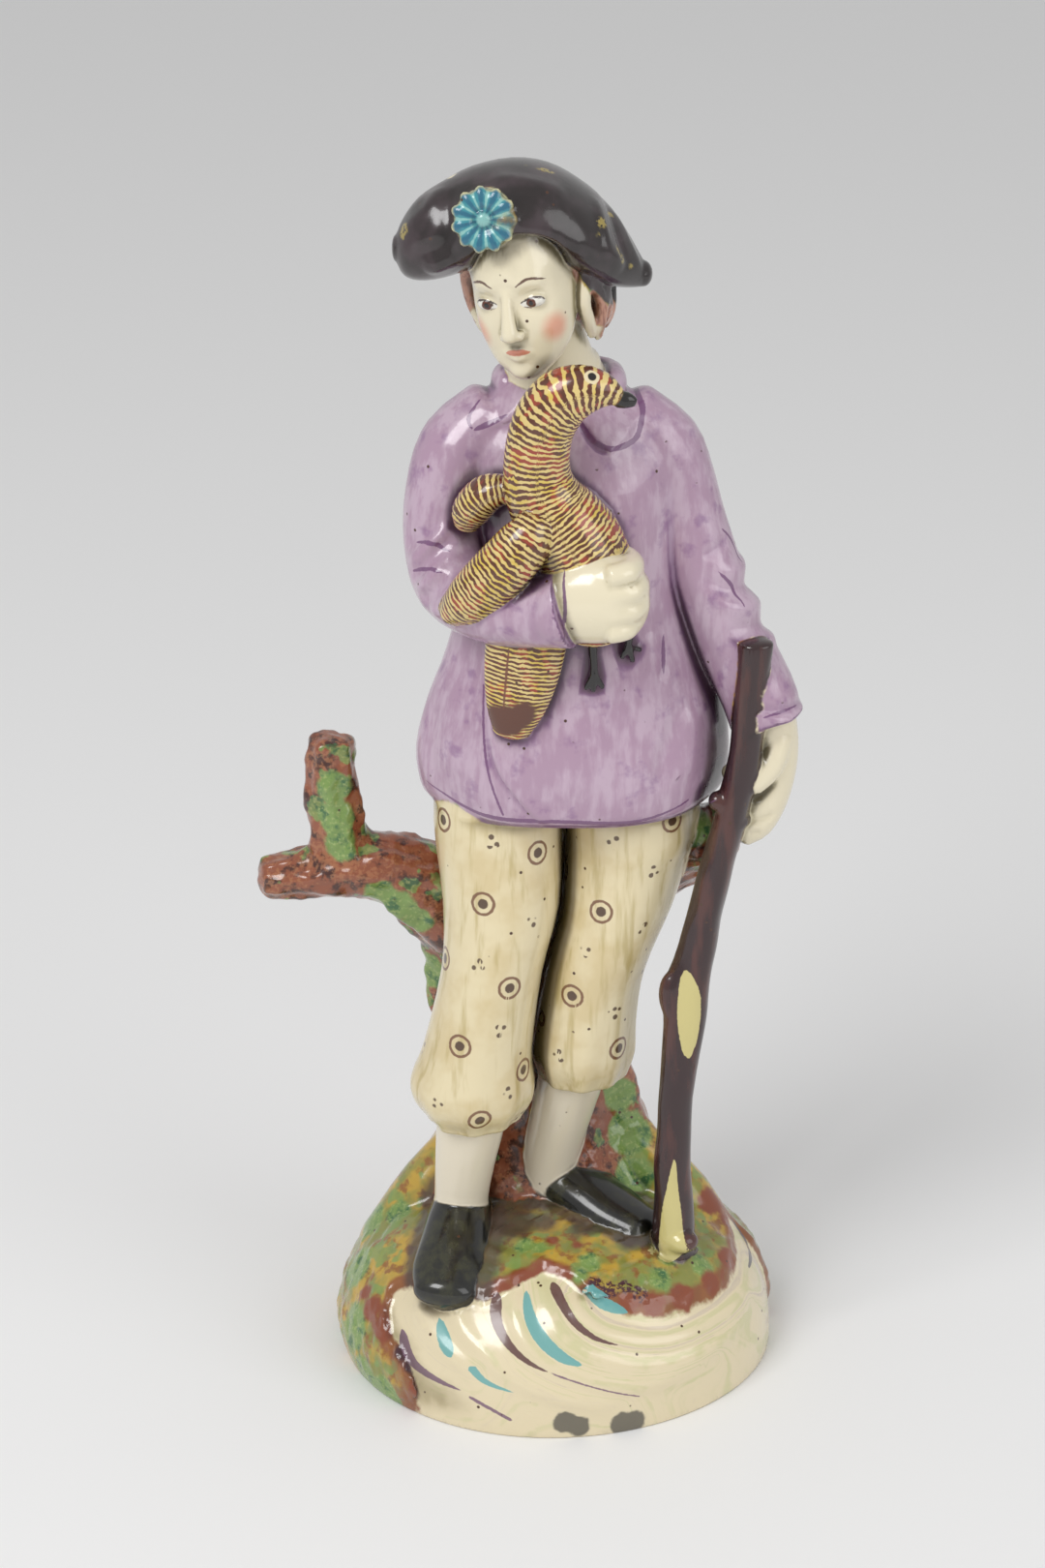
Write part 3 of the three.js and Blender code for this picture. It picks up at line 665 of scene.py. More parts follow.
jacketCut = {
    # lapels seen from the front, as x and height
    "lapels": [
        [(-4.6, 191.5), (-8, 191.5), (-12.5, 188.2), (-16.8, 184.6), (-15, 182.7), (-8.8, 185.6), (-4.8, 187.8)],
        [(2.6, 191.5), (14.6, 190), (14.4, 186.4), (11.8, 183.2), (8.9, 181.2), (6.6, 182), (4.9, 184), (3.6, 186.4)],
    ],
    "lapelStands": 0.75,
    # folds: width, how far each stands out or sinks in, and its line on the cloth
    "body": [
        (0.6, -0.5, (-12.9, -13, 137), (-12.3, -15.1, 129.2), (-11.1, -16.5, 124.8), (-8.4, -17.6, 120.7),
         (-5, -17.7, 116.5), (-3, -17.5, 114.5)),
        (1.1, 0.5, (-11.6, -13.4, 137), (-11, -15.4, 129.2), (-9.8, -16.7, 124.8), (-7.1, -17.7, 120.7),
         (-3.7, -17.8, 116.5), (-1.7, -17.5, 114.5)),
        (0.8, -0.8, (3.6, -8.4, 186.6), (5, -9.5, 184), (6.7, -10.1, 182.4), (8.7, -10.3, 181.2)),
        (1.0, -0.5, (18.4, -10.6, 148.5), (18.4, -11.6, 144), (18.0, -12.4, 140)),
        (1.2, 0.4, (16.2, -12, 149), (16, -13, 144), (15.6, -13.6, 139)),
        (1.6, -0.6, (21.4, -12, 136), (20.1, -13.7, 131), (18.2, -15, 126), (17.6, -15, 120)),
        (2.2, 0.6, (23.4, -9.5, 134), (22.8, -11, 128), (21.6, -12, 121)),
        (2.6, 0.5, (-17.6, -7, 139), (-18.8, -9.9, 130), (-18.2, -11.7, 121)),
        (2.2, -0.5, (-22.2, -4, 134), (-22.4, -5.8, 126), (-21.8, -7, 119)),
        (2.6, 0.35, (2.4, -15.9, 136), (3.4, -17.6, 128), (3, -18.2, 119)),
        (2.0, -0.3, (9.6, -15.6, 136), (10.4, -17, 128), (9.6, -17.4, 119)),
        (1.8, 0.5, (20, 9, 140), (22, 10, 130), (22, 11, 119)),
        (1.8, -0.6, (15, 13, 142), (16, 15, 130), (16, 16, 119)),
        (1.8, 0.5, (8, 15, 146), (9, 17, 132), (9, 18, 119)),
        (1.8, -0.6, (-1, 15, 146), (-1, 17.6, 132), (-1, 18.6, 119)),
        (1.8, 0.5, (-9, 13, 142), (-11, 15.6, 130), (-11, 17, 119)),
        (1.8, -0.6, (-16, 9, 140), (-18, 11, 130), (-18, 13, 119)),
        (1.2, -0.5, (-9, 13.4, 176), (-4, 15, 165), (-2, 15, 155)),
        (1.2, -0.5, (12, 12.8, 176), (7, 14.6, 165), (5, 15, 155)),
    ],
    "rightSleeve": [
        (1.3, -0.9, (-25, -11, 158.6), (-23.9, -13.1, 160.8), (-21.1, -13.5, 164.3), (-17.8, -12.3, 166.7)),
        (1.2, 0.7, (-26, -9.5, 161), (-23.8, -12, 163.2), (-21, -12.4, 166.2), (-18.4, -11, 168.6)),
        (1.2, -0.6, (-26.6, -8, 164), (-23.6, -11.4, 166.6), (-20.6, -11.2, 169)),
        (1.2, 0.6, (-24.8, -12.6, 157), (-22.4, -14.8, 159.8), (-19.4, -14.8, 162.2)),
        (1.3, -0.9, (-24, -13.6, 155.4), (-21.5, -15.9, 157.4), (-18.6, -16, 160.4)),
        (1.4, 0.6, (-22.6, -15.2, 153.6), (-19.8, -17.6, 155.6), (-17, -17.8, 158.4)),
        (1.2, -0.5, (-17.6, -19, 151.2), (-14, -20.6, 154), (-12, -21, 158)),
        (1.1, -0.5, (-3, -27.6, 151.6), (-4.4, -26.6, 156), (-3.6, -26.2, 161)),
        (1.6, -0.7, (-26, 3, 160), (-23, 4.6, 165), (-17, 5, 169)),
        (1.6, 0.7, (-26.6, 1, 164), (-23, 4.4, 168.6), (-18, 5.6, 172.4)),
        (1.6, -0.6, (-24, -1, 153), (-19, -1.6, 152), (-13, -5, 151)),
    ],
    "leftSleeve": [
        (1.2, 0.8, (30, 4, 158.6), (31.6, 0, 157.6), (30.4, -4.6, 157.6), (27, -7.6, 159)),
        (1.2, -1.0, (30.8, 3.6, 154.4), (32, 0, 153.6), (31, -5, 154), (28.3, -7.9, 155.4), (24.6, -8.2, 158.6)),
        (1.3, 0.9, (32.2, 3.4, 151), (33.8, 0, 150), (32.6, -5.4, 150.8), (29.1, -8.9, 152.6), (25.4, -9.4, 155.6)),
        (1.3, -0.8, (33.4, 2.6, 147), (34.8, -2, 146.4), (33, -7, 147.4), (29.4, -9.8, 149)),
        (1.2, 0.5, (35.2, 1.6, 144), (36, -3, 143.6), (33.8, -8.6, 144.6)),
        (1.0, -0.5, (29, -4, 163), (27.6, -6.1, 162.3), (24.8, -7.6, 161.1)),
        (0.9, -0.6, (43, -4, 133.4), (40, -10.4, 133.6), (36, -12, 134.4), (31, -10, 135.6)),
        (0.9, 0.4, (43.4, -4, 131.8), (40.6, -10.8, 132), (36.4, -12.4, 132.8), (31.4, -10.4, 134)),
        (1.6, -0.7, (26, 6.6, 160), (28, 5.6, 155), (33, 3, 152)),
        (1.6, 0.7, (24, 7, 164), (27, 6.6, 159), (32, 4.6, 155)),
    ],
}


def makeJacket():
    def folds(angle, share):
        low = (1 - share) ** 2
        return 1 + low * (0.024 * np.sin(6 * angle + 1.2) + 0.01 * np.sin(8 * angle))

    body = Limb(jacketRows, along=up, ends=(0.12, 0.3), fold=folds)
    for outline in jacketCut["lapels"]:
        body.press(lambda p, outline=outline: jacketCut["lapelStands"] * (p[:, 1] < 2)
                   * np.clip(0.5 - inPlan(outline, p[:, ::2]) / 0.7, 0, 1))
    collar = Limb([
        (-8.6, -2, 190, 2.6, 2),
        (-9.6, 3, 190, 2.8, 2),
        (-5, 9, 189.5, 2.8, 2),
        (2, 9.8, 189.5, 2.8, 2),
        (8.4, 6, 190, 2.8, 2.2),
        (9.6, 0, 190, 2.8, 2.2),
        (9, -4, 188.6, 2, 1.8),
    ], side=up)
    rightSleeve = Limb([
        (-11, 0.5, shoulder + 1.3, 7.5, 7.4),
        (-16.4, -0.8, shoulder - 3.7, 8, 8),
        (-18.7, -2.4, 171, 7.9, 8.1),
        (-19.4, -5, 163.5, 7.5, 8),
        (-18, -9.8, 157.7, 7, 7.3),
        (-12.5, -15.5, 155.6, 6.7, 6.5),
        (-6, -19.4, 156, 6.4, 6.4),
        (-0.6, -21.8, 157.2, 6.6, 6.9),
        (1.2, -22.4, 157.7, 6.9, 7.3),
    ], ends=(0.5, 0.12))
    leftSleeve = Limb([
        (12, 1, shoulder + 1.3, 7, 7.2),
        (17.4, 0.8, shoulder - 3.7, 7.6, 7.8),
        (20.2, 0.6, 173, 7, 7.4),
        (22.2, 0, 166, 6.9, 7.4),
        (24.4, -1, 159, 7, 7.2),
        (27.2, -2.2, 152, 6.7, 7),
        (30.7, -3.6, 144, 6.6, 6.8),
        (35, -5.2, 135.6, 6.7, 6.7),
        (37, -6, 130.2, 6.7, 6.7),
    ], ends=(0.5, 0.12))
    for part, name in ((body, "body"), (rightSleeve, "rightSleeve"), (leftSleeve, "leftSleeve")):
        for wide, high, *points in jacketCut[name]:
            part.work(points, wide, high)
    return [body, collar, rightSleeve, leftSleeve]


# Hands, neck, face and hair

def headPlace():
    turn = Matrix.Rotation(math.radians(figure["headTurn"]), 4, "Z")
    lean = Matrix.Rotation(math.radians(figure["headLean"]), 4, "Y")
    nod = Matrix.Rotation(math.radians(figure["headNod"]), 4, "X")
    return Matrix.Translation((-4.9, -3.2, figure["eyeLevel"])) @ turn @ lean @ nod


headShape = {  # about eye level, before the head is turned; +x is the viewer's right
    # x, y, z, width, height and how far it swells or sinks: eye sockets, cheeks, temples
    "swells": [(4.1, -11.2, 0.5, 2.5, 1.8, -0.85), (5.4, -9.6, -4.6, 3, 2.6, 0.5), (8.6, -6, 3, 2.6, 3, -0.4)],
    "brow": [(1.5, -12, 3.2), (4.2, -11.6, 3.8), (7, -9.6, 2.9)],
    "lumps": [
        ((4.1, -9.95, 0.25), (2, 1.5, 1.25)),  # eyes
        ((1.3, -12.7, -5), (0.9, 1.2, 0.85)),  # wings of the nose
        ((0, -9.8, -12.2), (2.8, 2.2, 1.9)),  # chin
    ],
    "nose": [(0, -11.4, 2.4, 0.9, 0.9), (0, -12.6, -1.2, 1.05, 1.3), (0, -13.7, -4.2, 1.4, 1.3), (0, -13.6, -5, 1.2, 1)],
    "lips": [
        [(-2.3, -11.2, -8.6, 0.35, 0.4), (-0.8, -11.8, -8.05, 0.6, 0.65), (0, -11.8, -8.2, 0.55, 0.7),
         (0.8, -11.8, -8.05, 0.6, 0.65), (2.3, -11.2, -8.6, 0.35, 0.4)],
        [(-2, -11.1, -9, 0.35, 0.4), (0, -11.6, -9.5, 0.7, 0.75), (2, -11.1, -9, 0.35, 0.4)],
    ],
}


def makeSkin():
    h = figure["headTall"]
    face = Limb([
        (0, -8.4, -0.46 * h, 0.11 * h, 0.08 * h),
        (0, -7, -0.39 * h, 0.2 * h, 0.155 * h),
        (0, -5, -0.28 * h, 0.265 * h, 0.235 * h),
        (0, -3.4, -0.11 * h, 0.3 * h, 0.3 * h),
        (0, -2.8, 0.04 * h, 0.31 * h, 0.315 * h),
        (0, -2.7, 0.2 * h, 0.3 * h, 0.32 * h),
        (0, -2.2, 0.36 * h, 0.25 * h, 0.28 * h),
    ], along=up, ends=(0.5, 0.5))
    for way in (-1, 1):
        for x, y, z, wide, tall, amount in headShape["swells"]:
            centre = np.array((way * x, y, z), np.float32)
            size = np.array((wide, wide, tall), np.float32)
            face.press(lambda p, c=centre, r=size, amount=amount: amount * np.exp(-np.square((p - c) / r).sum(1)))
        face.work([(way * x, y, z) for x, y, z in headShape["brow"]], 1.1, 0.4)
    parts = [face]
    for centre, radii in headShape["lumps"]:
        for way in ((-1, 1) if centre[0] else (1,)):
            parts.append(lump((way * centre[0], *centre[1:]), radii))
    parts.append(Limb(headShape["nose"], ends=(0.5, 0.6)))
    parts += [Limb(rows, side=up) for rows in headShape["lips"]]
    place = headPlace()
    neck = Limb([
        (-0.4, 1, 185, 9.2, 8.6),
        (-1, 0.2, 191.6, 8.9, 8.3),
        (-1.6, -0.4, 194.4, 7.6, 7.2),
        (-3.8, -1, 203, 7, 6.8),
    ])
    fist = Limb([
        (0.6, -22.8, 157.4, 4.4, 6.4),
        (4, -24, 158.8, 4.8, 7.2),
        (8.4, -24.4, 159.8, 4.9, 7.5),
        (11.6, -22.8, 160.2, 4.4, 6.9),
    ], side=back, ends=(0.5, 0.8))
    knuckles = [Limb([
        (8.6, -27.2, 160 + rise, 1.9, 2.1),
        (12.2 + out, -26, 160.2 + rise, 2, 2.2),
        (13.4 + out, -22, 160.2 + rise, 1.9, 2),
        (12.6 + out, -18, 160.2 + rise, 1.6, 1.7),
    ], side=up) for rise, out in ((5.1, -0.9), (1.7, 0), (-1.8, -0.1), (-5.1, -1.1))]
    palm = Limb([
        (37.2, -5.6, 132, 4.7, 4.6),
        (37.9, -5.4, 126, 4.9, 4.2),
        (37.8, -5.4, 120.5, 4.8, 4.4),
        (36.6, -6, 115, 4.6, 4.4),
        (34.6, -7.2, 110.8, 4.1, 3.8),
        (32.8, -8, 108.4, 2.6, 2.4),
    ])
    palm.work([(33.4, -11.6, 116.4), (35.6, -10.6, 117.2), (37.2, -10, 118.6), (38.6, -9.6, 120)], 0.9, -1.1)
    palm.work([(33.6, -11, 112.2), (36.2, -10.4, 112.6), (38.6, -9.2, 113.4)], 0.7, -0.6)
    palm.work([(34, -10.6, 109.6), (36, -9.8, 110)], 0.6, -0.5)
    thumb = Limb([(39.4, -7.6, 127, 2.2, 2.2), (37.6, -9.4, 122.4, 2.4, 2.2), (34.6, -10.6, 119.4, 2.1, 1.9)])
    fingers = [Limb([
        (35.5, -5.4, 120.5 - 3 * n, 2, 1.8),
        (32, -6.2, 120.4 - 3 * n, 1.8, 1.6),
        (30.4, -7.8, 120.2 - 3 * n, 1.6, 1.5),
    ], side=up) for n in range(4)]
    return [part.turned(place) for part in parts] + [neck, fist, *knuckles, palm, thumb, *fingers]


hair = {
    "strands": 26,
    "from": -28,  # degrees round the head, from the temple over the back to the other temple
    "to": 208,
    "thick": 1.25,
    # height about eye level, how far out, and how thick there
    "run": [(9, 1.0, 0.5), (5, 1.03, 1), (0.5, 1.07, 1.1), (-4, 1.06, 1.05), (-8, 0.98, 0.95), (-11.4, 0.84, 0.6)],
    "sway": 7,  # degrees
}


def makeHair():
    h = figure["headTall"]
    cap = Limb([
        (0, 5.2, -0.34 * h, 0.27 * h, 0.2 * h),
        (0, 4.4, -0.14 * h, 0.38 * h, 0.31 * h),
        (0, 3.8, 0.04 * h, 0.4 * h, 0.36 * h),
        (0, 2.6, 0.24 * h, 0.38 * h, 0.38 * h),
    ], along=up)
    return [cap.turned(headPlace())]


def growHair():
    place = headPlace()
    paths, thick = [], []
    for n in range(hair["strands"]):
        share = n / (hair["strands"] - 1)
        path = []
        for m, (z, out, size) in enumerate(hair["run"]):
            sway = hair["sway"] * math.sin(1.5 * m + 2.3 * n)
            turn = math.radians(hair["from"] + (hair["to"] - hair["from"]) * share + sway)
            drop = 1.2 * math.sin(2.1 * n)
            path.append((out * 11.2 * math.cos(turn), 3.4 + out * 10.2 * math.sin(turn), z + drop * (m > 3), size))
        path = between(path, 3)
        paths.append([tuple(place @ Vector(q[:3])) for q in path])
        thick.append([hair["thick"] * q[3] for q in path])
    return growStrands("hairStrands", paths, thick)


# The cocked hat and its rosette

hatShape = {
    # x, y, height under the top, radius to and fro, radius up
    "brim": [
        (-27.4, -5, 14.4, 2, 2.4),
        (-26.2, -5, 14.1, 4.3, 4.9),
        (-23.6, -5, 12.8, 6.6, 7),
        (-19.6, -4.6, 11.3, 9.1, 8),
        (-14.6, -4, 9.3, 11.4, 8.3),
        (-8, -3.5, 7.4, 12.8, 7.5),
        (-2, -3, 8, 12.8, 7.2),
        (3.2, -2.4, 11, 11.6, 7.4),
        (7.8, -1.6, 14.4, 9, 6.9),
        (11.4, -0.6, 17.5, 6, 4.8),
        (14.4, 0.4, 20.4, 2.6, 2.2),
    ],
    "arch": ((-6.3, -15, 211.4), (9.4, 8.4, 9.5)),  # cut out over the forehead
    # width, how far each stands out or sinks in, and its line on the felt
    "worked": [
        (1.4, -1.1, (-24.6, -9.4, 216), (-21.4, -12.8, 217.4), (-19, -13.2, 219.4), (-18, -12, 222.4), (-17.6, -8.4, 226)),
        (1.6, 0.7, (-26.4, -7.6, 219.6), (-24, -9.4, 221.4), (-21.4, -9.4, 224), (-20.4, -6, 226.6)),
        (1.3, 0.8, (-22.4, -10.4, 213.6), (-19, -13.2, 215), (-17, -13.8, 216.6)),
        (1.2, 0.9, (6.4, -4, 224), (7.1, -8.4, 221.4), (8, -9.7, 217), (9.4, -8.8, 215), (10.7, -7.4, 212.6)),
        (1.1, -1.3, (7.4, 3, 223), (8.6, -2, 221.8), (9.4, -4.8, 219.9), (10, -6.1, 217.8), (10.9, -6.4, 215.4),
         (12, -5.6, 212.4)),
        (1.0, 0.6, (9.6, 0, 221), (11.4, -2.6, 217.6), (12.8, -3, 214), (13.6, -2.4, 211)),
        (1.8, 0.5, (-12, -9.4, 228.4), (-5, -10.8, 228), (1, -10, 225.6)),
        (2.4, -0.5, (-8, -14, 224.6), (-2, -14.4, 223), (3, -11.8, 219.4)),
        (1.6, -1.2, (-24, 1, 218.6), (-16, 8, 221), (-6, 9.4, 222), (4, 7, 219), (10, 3, 213)),
        (1.8, 0.9, (-25, -1, 215.6), (-16, 6, 215), (-6, 9, 215), (4, 8, 212), (11, 4, 209)),
    ],
}


def makeHat():
    brim = Limb([(x, y, top - drop, a, b) for x, y, drop, a, b in hatShape["brim"]], side=back, along=across,
                ends=(0.4, 0.7))
    for wide, high, *points in hatShape["worked"]:
        brim.work(points, wide, high)
    return [brim.cut(lump(*hatShape["arch"]), 0.8)]


rosette = {
    "centre": (-12.6, -15.6, 223.5),
    "out": Vector((-0.1, -0.97, 0.2)).normalized(),
    "radius": 5.7,
    "petals": 11,
    "petalLong": 2.0,
    "petalWide": 1.25,
    "petalHigh": 0.95,
    "boss": 1.45,
}


def makeRosette():
    c = Vector(rosette["centre"])
    disc = Limb([(*(c - rosette["out"] * 3), 5, 5), (*(c - rosette["out"] * 0.4), 5, 5)], steps=2, ends=(0.1, 0.12))
    boss = lump(c + rosette["out"] * 0.1, (rosette["boss"], 1.1, rosette["boss"]))
    return [disc, boss]


def growPetals():
    def build(bench, wires):
        ring = bench.node("GeometryNodeMeshCircle", {}, {"Vertices": wires["Petals"], "Radius": wires["Ring"]})
        ball = bench.node("GeometryNodeMeshIcoSphere", {}, {"Radius": 1.0, "Subdivisions": 3})
        shape = bench.node("ShaderNodeCombineXYZ", {}, {0: wires["Long"], 1: wires["Wide"], 2: wires["High"]})
        petal = bench.node("GeometryNodeTransform", {}, {"Geometry": ball, "Scale": shape})
        outward = bench.node("FunctionNodeAlignRotationToVector", {"axis": "X"}, {
            "Vector": bench.node("GeometryNodeInputPosition")})
        return bench.node("GeometryNodeInstanceOnPoints", {}, {
            "Points": ring, "Instance": petal, "Rotation": outward})

    points, triangles = grow("rosettePetals", [(0, 0, 0)], [], [], build, {
        "Petals": rosette["petals"], "Ring": rosette["radius"] - rosette["petalLong"],
        "Long": rosette["petalLong"], "Wide": rosette["petalWide"], "High": rosette["petalHigh"]})
    turn = np.array(rosette["out"].to_track_quat("Z", "Y").to_matrix())
    return points @ turn.T + np.array(rosette["centre"]), triangles


# The staff

def makeStaff():
    r = 3.1
    stick = Limb([
        (22, -12.4, mound["top"] - 8, r + 1.2, r + 1),
        (21.8, -12.4, 32, r + 0.7, r + 0.5),
        (21.3, -12.6, 43, r + 0.3, r),
        (21.8, -12.6, 58, r, r),
        (23.2, -12.4, 73, r + 0.7, r + 0.4),
        (23.8, -12.2, 81, r + 1, r + 0.5),
        (25.4, -12, 88.5, r + 0.3, r),
        (28.6, -11.6, 104.5, r - 0.1, r),
        (32.4, -10.8, 121, r - 0.1, r - 0.1),
        (33.4, -10.2, 132, r - 0.3, r - 0.3),
        (34.4, -9.4, 145.8, r - 0.1, r - 0.1),
    ], along=up, ends=(0.3, 0.25), fold=lambda angle, share: 1 + 0.05 * np.sin(3 * angle + 9 * share))
    stick.press(lambda p: 0.18 * ripple(p, 7, 3.1))
    knots = [lump(place, size) for place, size in (
        ((20.4, -13, 79), (2, 2, 4.2)), ((28.3, -11.6, 116.6), (1.6, 1.8, 1.8)), ((23.4, -15.2, 28.8), (3, 2.6, 2.2)),
        ((31.6, -10.8, 112.6), (2.6, 2, 1.6)), ((33.6, -10.6, 119.4), (2.2, 2, 1.6)))]
    return [stick, *knots]


# The bird: head, neck and breast in one sweep, two wings and a tail

bird = {
    "breast": [
        (9.6, -20.8, 194.8, 1.6, 1.7),
        (7.2, -20.6, 195.6, 3, 3.2),
        (4, -20.4, 195.6, 3.9, 4.4),
        (0.4, -20, 194, 4.5, 5.2),
        (-2.4, -19.4, 190, 4.8, 5.4),
        (-3.6, -18.6, 185, 4.9, 5.5),
        (-3.7, -18, 179.6, 5, 5.8),
        (-2.2, -17.6, 174.8, 6, 6.6),
        (0.8, -17.4, 170.5, 7.6, 7.6),
        (3.8, -17.2, 165.5, 8.3, 8.1),
        (5.8, -16.8, 158.5, 8.1, 7.4),
        (5.4, -16.6, 151.6, 6, 5.4),
    ],
    "nearWing": [
        (-3.9, -22.6, 172.8, 3.2, 2.9),
        (-5.4, -23.4, 170.2, 4.5, 3.8),
        (-8.4, -23.4, 166.4, 4.9, 4.2),
        (-12, -22.2, 162.2, 4.8, 4.2),
        (-15.6, -20.2, 158, 4.1, 3.8),
        (-18.4, -17.8, 155, 2.4, 2.6),
    ],
    "farWing": [
        (-9.4, -16, 176.6, 2.8, 2.6),
        (-12.4, -15.2, 175.4, 3.7, 3.3),
        (-15, -14, 172, 3.3, 3.3),
        (-15.8, -13.2, 169.2, 2, 2.2),
    ],
    "tail": [
        (-4.6, -16.4, 156, 7, 4.4),
        (-5.6, -17.6, 149, 7, 3.6),
        (-6.5, -17.8, 142.6, 6.4, 3),
        (-7.5, -17.6, 136.4, 5, 2.6),
        (-8.3, -17.2, 132.4, 3.2, 2.1),
    ],
    # the bill, and each leg from the body down, with its toes
    "bill": [(9.6, -20.8, 194, 1.2, 1.3), (11.1, -21, 194.1, 1.3, 1.45), (12.5, -21, 193.7, 0.7, 0.9)],
    "legs": [
        ([(5.8, -17.2, 151, 1), (6, -17.3, 147, 0.8), (6.2, -17.2, 143.4, 0.7)],
         [(4.8, -16.9, 140.4), (6.1, -16.9, 139.9), (7.7, -16.7, 140.5)]),
        ([(12.5, -17.6, 154, 0.9), (12.3, -16.6, 150.4, 0.75), (12.1, -15.8, 147.9, 0.65)],
         [(11, -15.2, 145.5), (12.9, -14.9, 144.7), (14.2, -14, 146.4)]),
    ],
    "toe": 0.5,
}


def makeBird():
    return [
        Limb(bird["breast"], side=back),
        Limb(bird["nearWing"], side=Vector((0.7, 0, -0.7))),
        Limb(bird["farWing"], side=back),
        Limb(bird["tail"]),
    ]


def makeBlacks():
    parts = [Limb(bird["bill"], side=back)]
    for leg, toes in bird["legs"]:
        parts.append(Limb([(x, y, z, r, r) for x, y, z, r in leg]))
        for tip in toes:
            parts.append(Limb([(*leg[-1][:3], bird["toe"] * 1.2, bird["toe"] * 1.2), (*tip, bird["toe"], bird["toe"])]))
    return parts


# Everything is joined in one field of distances and meshed as one skin

areas = {  # what is painted as one, with the fillet that joins it to the rest
    "mound": (makeMound(), 1.6),
    "stump": (makeStump(), 1.4),
    "breeches": (makeBreeches(), 0.8),
    "stocking": (makeStockings(), 0.6),
    "shoe": (makeShoes(), 0.6),
    "jacket": (makeJacket(), 0.9),
    "skin": (makeSkin(), 0.6),
    "hair": (makeHair(), 0.6),
    "hat": (makeHat(), 0.5),
    "rosette": (makeRosette(), 0.3),
    "staff": (makeStaff(), 0.8),
    "bird": (makeBird(), 0.6),
    "black": (makeBlacks(), 0.4),
}


def joined(starts, steps):
    # the distance to all the forms together, at each start plus each step
    field = np.full((len(starts), len(steps)), 4.0, np.float32)
    for name, (forms, fillet) in areas.items():
        for form in forms:
            rows = np.flatnonzero(np.all((starts > form.low - 5) & (starts < form.high + 3), 1))
            if len(rows):
                d = form.distance((starts[rows, None] + steps).reshape(-1, 3)).reshape(len(rows), -1)
                field[rows] = soften(field[rows], d, fillet)
    return field


def buildField(cell):
    # coarse cubes find where the skin is, and fine ones are worked out only there
    low = np.array((-57, -41, -3), np.float32)
    high = np.array((47, 41, top + 3), np.float32)
    coarse = figure["coarse"]
    ratio = round(coarse / cell)
    size = np.ceil((high - low) / coarse).astype(int)
    cubes = np.indices(size).reshape(3, -1).T
    middle = (coarse - cell) / 2
    rough = joined((low + cubes * coarse + middle).astype(np.float32), np.zeros((1, 3), np.float32)).reshape(size)
    near = cubes[np.abs(rough.ravel()) < 2.6]
    steps = (np.indices((ratio,) * 3).reshape(3, -1).T * cell).astype(np.float32)
    fine = joined((low + near * coarse).astype(np.float32), steps)
    field = np.repeat(np.repeat(np.repeat(rough, ratio, 0), ratio, 1), ratio, 2)
    blocks = field.reshape(size[0], ratio, size[1], ratio, size[2], ratio)
    blocks[near[:, 0], :, near[:, 1], :, near[:, 2], :] = fine.reshape(-1, ratio, ratio, ratio)
    underside = -(low[2] + cell * np.arange(field.shape[2], dtype=np.float32))
    return low, np.maximum(field, underside[None, None, :]), rough, low + middle


def fuse(low, field, cell, points, triangles, fillet):
    # a mesh of millimetres worked into the field
    first = np.maximum(((points.min(0) - low) / cell).astype(int) - 5, 0)
    last = np.minimum(((points.max(0) - low) / cell).astype(int) + 6, field.shape)
    grid = openvdb.FloatGrid.createLevelSetFromPolygons(
        (points - low).astype(np.float32), triangles=triangles.astype(np.uint32),
        transform=openvdb.createLinearTransform(voxelSize=cell), halfWidth=4.0)
    d = np.zeros(last - first, np.float32)
    grid.copyToArray(d, ijk=tuple(int(n) for n in first))
    part = tuple(slice(a, b) for a, b in zip(first, last))
    field[part] = soften(field[part], d, fillet)


def meshField(low, field, cell):
    grid = openvdb.FloatGrid(4.0)
    grid.copyFromArray(field)
    points, triangles, quads = grid.convertToPolygons(0.0, 0.0)
    mesh = bpy.data.meshes.new("glazedFigure")
    corners = np.concatenate([quads.ravel(), triangles.ravel()]).astype(np.int32)
    counts = [4] * len(quads) + [3] * len(triangles)
    starts = np.concatenate([[0], np.cumsum(counts)[:-1]]).astype(np.int32)
    mesh.vertices.add(len(points))
    mesh.vertices.foreach_set("co", ((points * cell + low) * metre).astype(np.float32).ravel())
    mesh.loops.add(len(corners))
    mesh.loops.foreach_set("vertex_index", corners)
    mesh.polygons.add(len(starts))
    mesh.polygons.foreach_set("loop_start", starts)
    mesh.update(calc_edges=True)
    mesh.validate()
    return mesh


cell = figure["cell"]
low, field, rough, roughLow = buildField(cell)
fuse(low, field, cell, *growHair(), 0.5)
fuse(low, field, cell, *growPetals(), 0.25)
fuse(low, field, cell, *growMoss(), 0.4)
fuse(low, field, cell, *growClods(), 0.9)
print("form worked out", field.shape)
skinMesh = meshField(low, field, cell)
print("skin meshed", len(skinMesh.polygons))
figureObject = bpy.data.objects.new("glazedFigure", skinMesh)
bpy.context.scene.collection.objects.link(figureObject)
faceCount = 2 * len(skinMesh.polygons)
thin = figureObject.modifiers.new("thin", "DECIMATE")
thin.ratio = min(1.0, figure["triangles"] / faceCount)
thin.use_collapse_triangulate = True
figureObject.modifiers.new("triangles", "TRIANGULATE")
baked = bpy.data.meshes.new_from_object(figureObject.evaluated_get(bpy.context.evaluated_depsgraph_get()))
figureObject.modifiers.clear()
figureObject.data = baked
baked.name = "glazedFigure"
bpy.data.meshes.remove(skinMesh)
baked.polygons.foreach_set("use_smooth", np.ones(len(baked.polygons), bool))
print("skin thinned", len(baked.polygons))



# Paint: what each patch of skin carries, kept on the mesh for the glaze to read

def meshPoints(mesh):
    points = np.zeros(len(mesh.vertices) * 3, np.float32)
    mesh.vertices.foreach_get("co", points)
    return points.reshape(-1, 3) / metre


